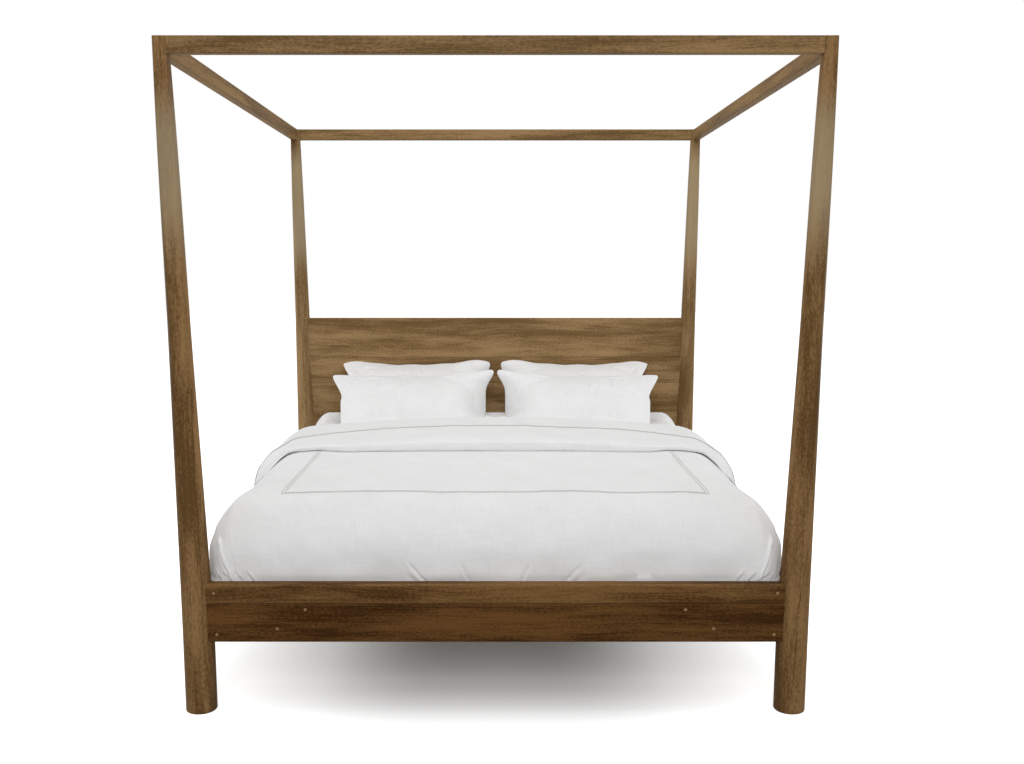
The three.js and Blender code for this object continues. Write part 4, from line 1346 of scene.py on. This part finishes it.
@dataclass(frozen=True)
class PillowSize:
    """Sizes of one pair of pillows.

    Attributes:
        pair: Name of the pair.
        half_span: Half of a pillow's width.
        half_depth: Half of its depth.
        outer_rise: How much higher the outer top corner is than the middle.
        seed: Seed of the flange's waves.
    """

    pair: str
    half_span: float
    half_depth: float
    outer_rise: float
    seed: int


@dataclass
class Pillows:
    """The four flanged pillows, two behind and two in front.

    Attributes:
        sizes: Sizes of the pair behind and the pair in front.
        flange: Width of the flat border outside the seam.
        thickness: Thickness of the middle.
        edge: Thickness of the flange.
        tilt: Lean of the pillows, in degrees.
        side_pinch: How far the inner sides are drawn in, as a share.
        outer_pinch: How far the outer sides of each pair are drawn in, at the middle and at the foot.
        top_sag: How far the top edge hangs in the middle, as a share.
        inner_rise: How much higher the inner top corner is than the middle.
        inner_roll: How far the inner end turns away.
        outer_curl: How far the outer flange falls back.
        corners: Radius of the inner and the outer corners.
        swelling: Powers of the thickness across and along, where 2 is a parabola.
        shoulder: Power to which both are raised.
        wave: Height and length of the flange's waves.
        seam: Depth of the stitched seam, and its half width.
        pitch: Distance between grid lines.
        pressure: Air pressure of the cloth simulation.
        shrink: How much the cloth shrinks in it, where less than 0 grows.
        frames: Number of frames that it runs.
        cap: Most that a point may move in it.
        loft: Share of a pillow's volume that is filling.
    """

    groups: Groups
    sizes: tuple[PillowSize, PillowSize] = (
        PillowSize("rear", 0.395, 0.240, 0.062, 21),
        PillowSize("front", 0.4, 0.211, 0.02, 31),
    )
    flange: float = 0.058
    thickness: float = 0.112
    edge: float = 0.004
    tilt: float = 34.0
    side_pinch: float = 0.106
    outer_pinch: Pair = (0.15, 0.06)
    top_sag: float = 0.125
    inner_rise: float = 0.062
    inner_roll: float = 0.148
    outer_curl: float = 0.012
    corners: Pair = (0.036, 0.012)
    swelling: Pair = (2.0, 2.4)
    shoulder: float = 0.9
    wave: Pair = (0.004, 0.16)
    seam: Pair = (0.0012, 0.004)
    pitch: float = 0.0085
    pressure: float = 2.4
    shrink: float = -0.022
    frames: int = 20
    cap: float = 0.02
    loft: float = 0.6

    def build(self) -> None:
        """Builds each pair's left pillow, mirrors it to the right, and dresses both."""
        linen = PILLOW_LINEN.material(self.groups)
        lean = np.array(Matrix.Rotation(math.radians(self.tilt), 3, "X"))
        for size in self.sizes:
            flat, faces, cloth, free = self.flat_form(size)
            puffed = self.inflate(flat, faces, free)
            for side in Side:
                node = f"pillow_{size.pair}_{side.name.lower()}"
                low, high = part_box(node)
                points = puffed * np.array([-side.value, 1, 1]) @ lean.T + np.array((low + high) / 2)
                piece = make_piece(f"{node}_filled", points, faces, cloth)
                close_seams(piece)
                smoothed = piece.modifiers.new("smooth", "SUBSURF")
                smoothed.levels = smoothed.render_levels = 1
                dress(piece, linen, "linen", node)

    def lines(self, half: float) -> np.ndarray:
        """Places grid lines from edge to edge, close together at the seam.

        Args:
            half: Half of the pillow's size.

        Returns:
            The lines' places.
        """
        seam = half - self.flange
        inner = np.linspace(-seam + 0.003, seam - 0.003, round(2 * seam / self.pitch))
        outer = np.linspace(-half, -seam - 0.003, 8)
        return np.concatenate([outer, [-seam], inner, [seam], -outer[::-1]])

    def flat_form(self, size: PillowSize) -> tuple[np.ndarray, Faces, np.ndarray, np.ndarray]:
        """Works out a pillow lying flat.

        The thickness is a product of two round-shouldered curves, less a groove at the seam. The sides are
        drawn in between the corners, the corners are rounded by mapping squares to quarter discs, and the
        inner end turns away along a quarter ellipse. The flange waves a little.

        Args:
            size: The pair's sizes.

        Returns:
            The points, the faces, the cloth coordinates, and which points may move.
        """
        half_span, half_depth = size.half_span, size.half_depth
        across, along = np.meshgrid(self.lines(half_span), self.lines(half_depth))
        u, v = across / half_span, along / half_depth
        radius = np.where(u > 0, *self.corners)
        a = np.maximum(np.abs(across) - half_span + radius, 0) / radius
        b = np.maximum(np.abs(along) - half_depth + radius, 0) / radius
        round_x = np.sign(across) * radius * a * (np.sqrt(1 - b * b / 2) - 1)
        round_y = np.sign(along) * radius * b * (np.sqrt(1 - a * a / 2) - 1)
        inner = 1 - self.side_pinch * (1 - smooth(np.abs(v), 0.6, 0.93))
        outer = 1 - self.outer_pinch[0] * (1 - smooth(v, 0.15, 1.0)) - self.outer_pinch[1] * np.clip(-v, 0, 1)
        x = across * np.where(u > 0, inner, outer) + round_x
        lift = self.inner_rise * np.clip(u, 0, 1) ** 2 + size.outer_rise * np.clip(u, -1, 0) ** 2
        y = along * (1 - self.top_sag * np.where(v > 0, 1, 0.4)) + lift * smooth(v, -0.6, 1.0) + round_y
        swell_u, swell_v = (np.clip(1 - np.abs(w) ** power, 0, 1) for w, power in zip((u, v), self.swelling))
        fat = swell_u**self.shoulder * swell_v**self.shoulder
        turned = np.clip((u - 0.1) / 0.9, 0, 1)
        between = smooth(v, -1.0, 0.1) * (1 - smooth(v, 0.35, 1.0))
        rolled = self.inner_roll * (1 - np.sqrt(1 - 0.98 * turned**2)) * between
        rolled += self.outer_curl * np.clip(-u, 0, 1) ** 2
        past = np.maximum(np.abs(across) - half_span, np.abs(along) - half_depth) + self.flange
        place = np.stack([x, y], axis=-1)
        wave = self.wave[0] * smooth(past, 0.0, 0.02) * ripples(place, self.wave[1], size.seed)
        stitched = self.seam[0] * np.exp(-((past / self.seam[1]) ** 2))
        rise = self.edge / 2 + (self.thickness / 2 - self.edge / 2) * fat - stitched
        sheets = [np.stack([x, y, wave - rolled + face * rise], axis=-1) for face in (1, -1)]
        points = np.concatenate([sheet.reshape(-1, 3) for sheet in sheets])
        rows, columns = x.shape
        count = rows * columns
        quads = grid_quads(rows, columns)
        rim = grid_rim(rows, columns)
        after = np.roll(rim, -1)
        sides = np.stack([rim, rim + count, after + count, after], axis=-1)
        faces = np.concatenate([quads, quads[:, ::-1] + count, sides]).tolist()
        free = np.tile((past < -0.002).ravel(), 2)
        cloth = np.tile(np.stack([across, along], axis=-1).reshape(-1, 2), (2, 1))
        return points, faces, cloth, free

    def inflate(self, points: np.ndarray, faces: Faces, free: np.ndarray) -> np.ndarray:
        """Fills a pillow by cloth simulation, with its flange held still.

        Args:
            points: Points of the flat form.
            faces: Its faces.
            free: Which points may move.

        Returns:
            The points after the last frame, none moved further than the cap.
        """
        piece = make_piece("pillow_in_work", points, faces)
        pins = piece.vertex_groups.new(name="pins")
        pins.add(np.flatnonzero(~free).tolist(), 1.0, "REPLACE")
        cloth = piece.modifiers.new("filling", "CLOTH")
        settings = cloth.settings
        settings.quality = 6
        settings.mass = 0.3
        settings.tension_stiffness = settings.compression_stiffness = 12
        settings.shear_stiffness = 4
        settings.bending_stiffness = 0.25
        settings.use_pressure = True
        settings.uniform_pressure_force = self.pressure
        settings.shrink_min = self.shrink
        settings.vertex_group_mass = "pins"
        settings.effector_weights.gravity = 0.0
        cloth.collision_settings.use_collision = False
        scene = bpy.context.scene
        scene.frame_start, scene.frame_end = 1, self.frames
        cloth.point_cache.frame_start, cloth.point_cache.frame_end = 1, self.frames
        for number in range(1, self.frames + 1):
            scene.frame_set(number)
        shape = piece.evaluated_get(bpy.context.evaluated_depsgraph_get()).to_mesh()
        filled = np.empty(len(shape.vertices) * 3, np.float32)
        shape.vertices.foreach_get("co", filled)
        scene.frame_set(1)
        bpy.data.objects.remove(piece)
        move = filled.reshape(-1, 3) - points
        length = np.linalg.norm(move, axis=1, keepdims=True)
        log.info("pillow filling: moved up to %.1f mm", 1000 * length.max())
        return points + move * np.minimum(1, self.cap / np.maximum(length, 1e-9))


@dataclass
class Posts:
    """The four posts: round at the foot, tapering on the inner sides and turning square at the top.

    Attributes:
        foot_width: Width at the foot.
        top_width: Width at the top.
        taper_start: Height at which the taper starts.
        round_until: Height up to which the section is round.
        square_from: Height from which the section is square.
        foot_arris: Radius of the foot's edge.
        top_arris: Radius of the top's edge.
        round_share: Corner radius of the round section, as a share of half its width.
        square_share: Corner radius of the square section, as a share of half its width.
        quarter_steps: Steps round a quarter of the section.
        rise_step: Distance between sections.
        arris_rows: Sections round the foot's edge and round the top's edge.
    """

    groups: Groups
    foot_width: float = 0.102
    top_width: float = 0.041
    taper_start: float = 0.3
    round_until: float = 1.15
    square_from: float = 2.04
    foot_arris: float = 0.005
    top_arris: float = 0.0016
    round_share: float = 0.97
    square_share: float = 0.18
    quarter_steps: int = 14
    rise_step: float = 0.02
    arris_rows: int = 5

    def section(
        self, height: np.ndarray, inset: np.ndarray, centre_sign: tuple[int, int], top: float, corner: Pair
    ) -> np.ndarray:
        """Works out the sections: rounded squares whose outer corner stays plumb.

        The half width falls in a straight line with height. The corner radius eases from round to square.

        Args:
            height: Height of each section.
            inset: How far each section is drawn in, for the rounded ends.
            centre_sign: Side of the bed in X and Y, each -1 or 1.
            top: Height of the post.
            corner: The bed's half width and half length.

        Returns:
            A grid of points, sections by points round them.
        """
        share = np.clip((height - self.taper_start) / (top - self.taper_start), 0, 1)
        half = (self.foot_width + (self.top_width - self.foot_width) * share) / 2
        squared = smooth(height, self.round_until, self.square_from)
        radius = half * (self.round_share + (self.square_share - self.round_share) * squared)
        flat = (half - radius)[:, None]
        radius = (radius - inset)[:, None]
        angle = np.concatenate([np.linspace(q, q + 1, self.quarter_steps) for q in range(4)]) * math.pi / 2
        quarter = (np.repeat(np.arange(4), self.quarter_steps) + 0.5) * math.pi / 2
        half = half[:, None]
        x = centre_sign[0] * (corner[0] - half) + np.sign(np.cos(quarter)) * flat + radius * np.cos(angle)
        y = centre_sign[1] * (corner[1] - half) + np.sign(np.sin(quarter)) * flat + radius * np.sin(angle)
        return np.stack([x, y, np.broadcast_to(height[:, None], x.shape)], axis=-1)

    def build(self) -> None:
        """Builds and dresses the four posts."""
        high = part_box("post_head_right")[1]
        turn = np.linspace(0, math.pi / 2, self.arris_rows)
        foot = self.foot_arris * (1 - np.cos(turn))
        crown = high.z - self.top_arris * (1 - np.cos(turn[::-1]))
        height = np.concatenate([foot, np.arange(0.03, high.z - 0.01, self.rise_step), crown])
        inset = np.zeros_like(height)
        inset[: self.arris_rows] = self.foot_arris * (1 - np.sin(turn))
        inset[-self.arris_rows :] = self.top_arris * (1 - np.sin(turn[::-1]))
        seed = 1.0
        for end, sign_y, stain in (("foot", -1, FOOT_POST_STAIN), ("head", 1, HEAD_POST_STAIN)):
            for side in Side:
                name = f"post_{end}_{side.name.lower()}"
                grid = self.section(height, inset, (side.value, sign_y), high.z, (high.x, high.y))
                rows, columns = grid.shape[:2]
                faces = grid_quads(rows, columns, loop_columns=True).tolist()
                faces += [face[::-1] for face in end_faces(rows, columns)]
                piece = make_piece(f"{name}_turned", grid, faces)
                piece.data.set_sharp_from_angle(angle=math.radians(50))
                middle = (Vector(grid.reshape(-1, 3).min(0)) + Vector(grid.reshape(-1, 3).max(0))) / 2
                dress(piece, stain.material(self.groups, name, Grain.UP, middle, seed), "wood", name)
                seed += 1.3


@dataclass
class Boards:
    """The boards and rails that stay as the CAD made them, each with its own grain.

    Attributes:
        finishes: Beginnings of names, each with its timber and its grain. The first that fits counts.
    """

    groups: Groups
    finishes: tuple[tuple[str, TimberFinish, Grain], ...] = (
        ("canopy_rail_left", BROWN_STAIN, Grain.ALONG),
        ("canopy_rail_right", BROWN_STAIN, Grain.ALONG),
        ("canopy_rail", BROWN_STAIN, Grain.ACROSS),
        ("headboard_batten", LIGHTENED_HEADBOARD_STAIN, Grain.UP),
        ("headboard", LIGHTENED_HEADBOARD_STAIN, Grain.ACROSS),
        ("footboard_plank_1", DEEP_STAIN, Grain.ACROSS),
        ("footboard_plank", DARK_STAIN, Grain.ACROSS),
        ("side_rail", DARK_STAIN, Grain.ALONG),
        ("slat_", PLAIN_SOFTWOOD, Grain.ACROSS),
        ("beam_saddle", PLAIN_SOFTWOOD, Grain.ACROSS),
        ("ledger", PLAIN_SOFTWOOD, Grain.ALONG),
        ("centre_beam", PLAIN_SOFTWOOD, Grain.ALONG),
        ("centre_leg", PLAIN_SOFTWOOD, Grain.UP),
    )

    def build(self) -> None:
        """Dresses every board."""
        seed = 20.0
        for name in sorted(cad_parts):
            seed += 1.7
            fitting = [entry for entry in self.finishes if name.startswith(entry[0])]
            if fitting:
                _, finish, grain = fitting[0]
                low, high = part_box(name)
                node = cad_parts[name]
                node.data.materials.clear()
                node.data.materials.append(finish.material(self.groups, name, grain, (low + high) / 2, seed))
                log.info("%s: %s", name, finish.name)


@dataclass
class Plugs:
    """The pale wooden plugs over the footboard's pegs.

    Attributes:
        places: Distance from the middle and height of each, mirrored to both sides.
        radius: Radius of a plug.
        dome: How far it stands proud.
        let_in: How deep it sits in the board.
        rings: Distances of the rings of points from the middle, as shares of the radius. The last two lie
            in the board.
    """

    groups: Groups
    places: tuple[Pair, ...] = ((0.926, 0.413), (0.92, 0.272), (0.72, 0.292), (0.626, 0.357))
    radius: float = 0.0052
    dome: float = 0.0008
    let_in: float = 0.004
    rings: tuple[float, ...] = (0.05, 0.35, 0.7, 0.92, 1.0, 1.0, 0.05)

    def build(self) -> None:
        """Builds and dresses every plug as a turned disc: a domed end and a straight side."""
        low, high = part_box("footboard_plank_1")
        angle = np.linspace(0, 2 * math.pi, 25)[:-1]
        reach = np.array(self.rings) * self.radius
        depth = self.dome * (1 - (reach / self.radius) ** 4)
        depth[-2:] = -self.let_in
        timber = PLUG_WOOD.material(self.groups, "footboard", Grain.ACROSS, (low + high) / 2, 5.0)
        for side in Side:
            for number, (across, height) in enumerate(self.places, start=1):
                x = side.value * across + reach[:, None] * np.cos(angle)
                y = low.y - depth[:, None] + 0 * angle
                z = height + reach[:, None] * np.sin(angle)
                rows, columns = x.shape
                faces = grid_quads(rows, columns, loop_columns=True).tolist()
                faces += end_faces(rows, columns)
                piece = make_piece(f"plug_{side.name.lower()}_{number}", np.stack([x, y, z], axis=-1), faces)
                close_seams(piece, 1e-7)
                dress(piece, timber, "wood")


@dataclass
class Fixings:
    """The bed studs and flange nuts.

    Attributes:
        finish: Their steel.
    """

    finish: PlatedSteel = PlatedSteel()

    def build(self) -> None:
        """Gives every stud and nut its steel."""
        steel = self.finish.material()
        for name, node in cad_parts.items():
            if name.startswith("bed_"):
                node.data.materials.clear()
                node.data.materials.append(steel)
                log.info("%s: %s", name, steel.name)


@dataclass(frozen=True)
class Lamp:
    """A soft area lamp.

    Attributes:
        name: Its name.
        place: Where it stands.
        target: Where it points.
        size: Its width and height.
        power: Its power in watts.
    """

    name: str
    place: Point
    target: Point
    size: Pair
    power: float

    def build(self) -> None:
        """Adds the lamp, out of the camera's sight."""
        data = bpy.data.lights.new(self.name, "AREA")
        data.shape = "RECTANGLE"
        data.size, data.size_y = self.size
        data.energy = self.power
        lamp = bpy.data.objects.new(self.name, data)
        lamp.location = self.place
        lamp.rotation_euler = (Vector(self.target) - Vector(self.place)).to_track_quat("-Z", "Y").to_euler()
        lamp.visible_camera = False
        bpy.context.scene.collection.objects.link(lamp)


@dataclass
class Studio:
    """Camera, lights, world and floor.

    Attributes:
        lens: Focal length in millimetres on a sensor 36 mm wide.
        eye: Place of the camera.
        tilt: The camera's turn about X, in degrees.
        shift: Shift of the lens, as shares of the picture's width.
        lamps: The lamps.
        sky: Strength of the even light from all round.
        floor_size: Side of the floor.
        floor_tone: Grey of the floor in the shade.
        floor_bounce: Grey of the floor for the light that it throws back.
        floor_glow: Share of its own white that the floor shows near the bed.
        shade: Half width and half length of the floor that shows the shadow in full.
        clear_at: Distances from it, across and along, at which the floor shows plain white.
    """

    lens: float = 36.12
    eye: Point = (0.0, -4.3217, 1.4714)
    tilt: float = 81.774
    shift: Pair = (0.0162, 0.0334)
    lamps: tuple[Lamp, ...] = (
        Lamp("lamp_front", (0.0, -6.5, 3.6), (0.0, -0.4, 0.7), (4.2, 2.2), 182.0),
        Lamp("lamp_top", (0.0, -0.3, 4.2), (0.0, -0.1, 0.0), (2.0, 2.6), 46.0),
        Lamp("lamp_left", (-3.2, 0.5, 1.3), (-0.5, 0.4, 0.8), (1.4, 0.5), 24.0),
        Lamp("lamp_right", (3.2, 0.5, 1.3), (0.5, 0.4, 0.8), (1.4, 0.5), 24.0),
    )
    sky: float = 0.34
    floor_size: float = 60.0
    floor_tone: float = 0.8
    floor_bounce: float = 0.45
    floor_glow: float = 0.09
    shade: Pair = (0.17, 0.78)
    clear_at: Pair = (1.32, 0.72)

    def build(self) -> None:
        """Builds the whole studio."""
        self.add_camera()
        self.add_world()
        for lamp in self.lamps:
            lamp.build()
        self.add_floor()

    def add_camera(self) -> None:
        """Adds the camera at the photograph's viewpoint."""
        data = bpy.data.cameras.new("camera")
        data.lens = self.lens
        data.sensor_width = 36.0
        data.sensor_fit = "HORIZONTAL"
        data.shift_x, data.shift_y = self.shift
        camera = bpy.data.objects.new("camera", data)
        camera.location = self.eye
        camera.rotation_euler = (math.radians(self.tilt), 0.0, 0.0)
        bpy.context.scene.collection.objects.link(camera)
        bpy.context.scene.camera = camera

    def white_share(self, tree: Tree) -> Socket:
        """Gives 1 to rays that should see plain white: from the camera, off gloss and through glass.

        Args:
            tree: The node tree.

        Returns:
            The mask.
        """
        path = put(tree, "ShaderNodeLightPath").outputs
        seen = calc(tree, "MAXIMUM", path["Is Camera Ray"], path["Is Glossy Ray"])
        return calc(tree, "MAXIMUM", seen, path["Is Transmission Ray"])

    def add_world(self) -> None:
        """Adds a dim even sky that camera and glossy rays see as white."""
        world = bpy.data.worlds.new("studio")
        bpy.context.scene.world = world
        world.use_nodes = True
        tree = world.node_tree
        tree.nodes.clear()
        strength = remap(tree, self.white_share(tree), (0.0, 1.0), (self.sky, 1.0))
        sky = put(tree, "ShaderNodeBackground", {"Color": rgba((1.0, 1.0, 1.0)), "Strength": strength})
        end = put(tree, "ShaderNodeOutputWorld")
        tree.links.new(sky.outputs[0], end.inputs["Surface"])

    def add_floor(self) -> None:
        """Adds a pale floor that shows the bed's shadow, and plain white away from it."""
        half = self.floor_size / 2
        corners = np.array([[-half, -half, 0], [half, -half, 0], [half, half, 0], [-half, half, 0]])
        floor = make_piece("floor", corners, [[0, 1, 2, 3]])
        material, tree, shader = new_material("floor_white")
        tone = remap(tree, self.white_share(tree), (0.0, 1.0), (self.floor_bounce, self.floor_tone))
        tree.links.new(tone, shader.inputs["Base Color"])
        shader.inputs["Roughness"].default_value = 1.0
        shader.inputs["Specular IOR Level"].default_value = 0.0
        where = put(tree, "ShaderNodeTexCoord").outputs["Object"]
        past = vector_calc(tree, "SUBTRACT", vector_calc(tree, "ABSOLUTE", where), (*self.shade, 0.0))
        outside = vector_calc(tree, "MAXIMUM", past, (0.0, 0.0, 0.0))
        scaled = stretch(tree, outside, (1 / self.clear_at[0], 1 / self.clear_at[1], 0.0))
        clear = remap(tree, vector_calc(tree, "LENGTH", scaled), (0.0, 1.0), (self.floor_glow, 1.0))
        strength = calc(tree, "MULTIPLY", clear, self.white_share(tree))
        glow = put(tree, "ShaderNodeEmission", {"Strength": strength})
        both = put(tree, "ShaderNodeAddShader", {0: shader.outputs[0], 1: glow.outputs[0]})
        tree.links.new(both.outputs[0], tree.nodes["Material Output"].inputs["Surface"])
        floor.data.materials.append(material)
        floor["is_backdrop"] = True


def main(cad_box: tuple[Vector, Vector]) -> None:
    """Builds the looks of the bed.

    Args:
        cad_box: Lowest and highest corners of the CAD model; not used.
    """
    logging.basicConfig(level=logging.INFO, format="%(name)s: %(message)s")
    bpy.context.scene.view_settings.view_transform = "Standard"
    groups = Groups()
    Studio().build()
    Posts(groups).build()
    Boards(groups).build()
    Plugs(groups).build()
    Fixings().build()
    Mattress(groups).build()
    Pillows(groups).build()
    Duvet(groups).build()


if __name__ == "__main__":
    main(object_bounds())
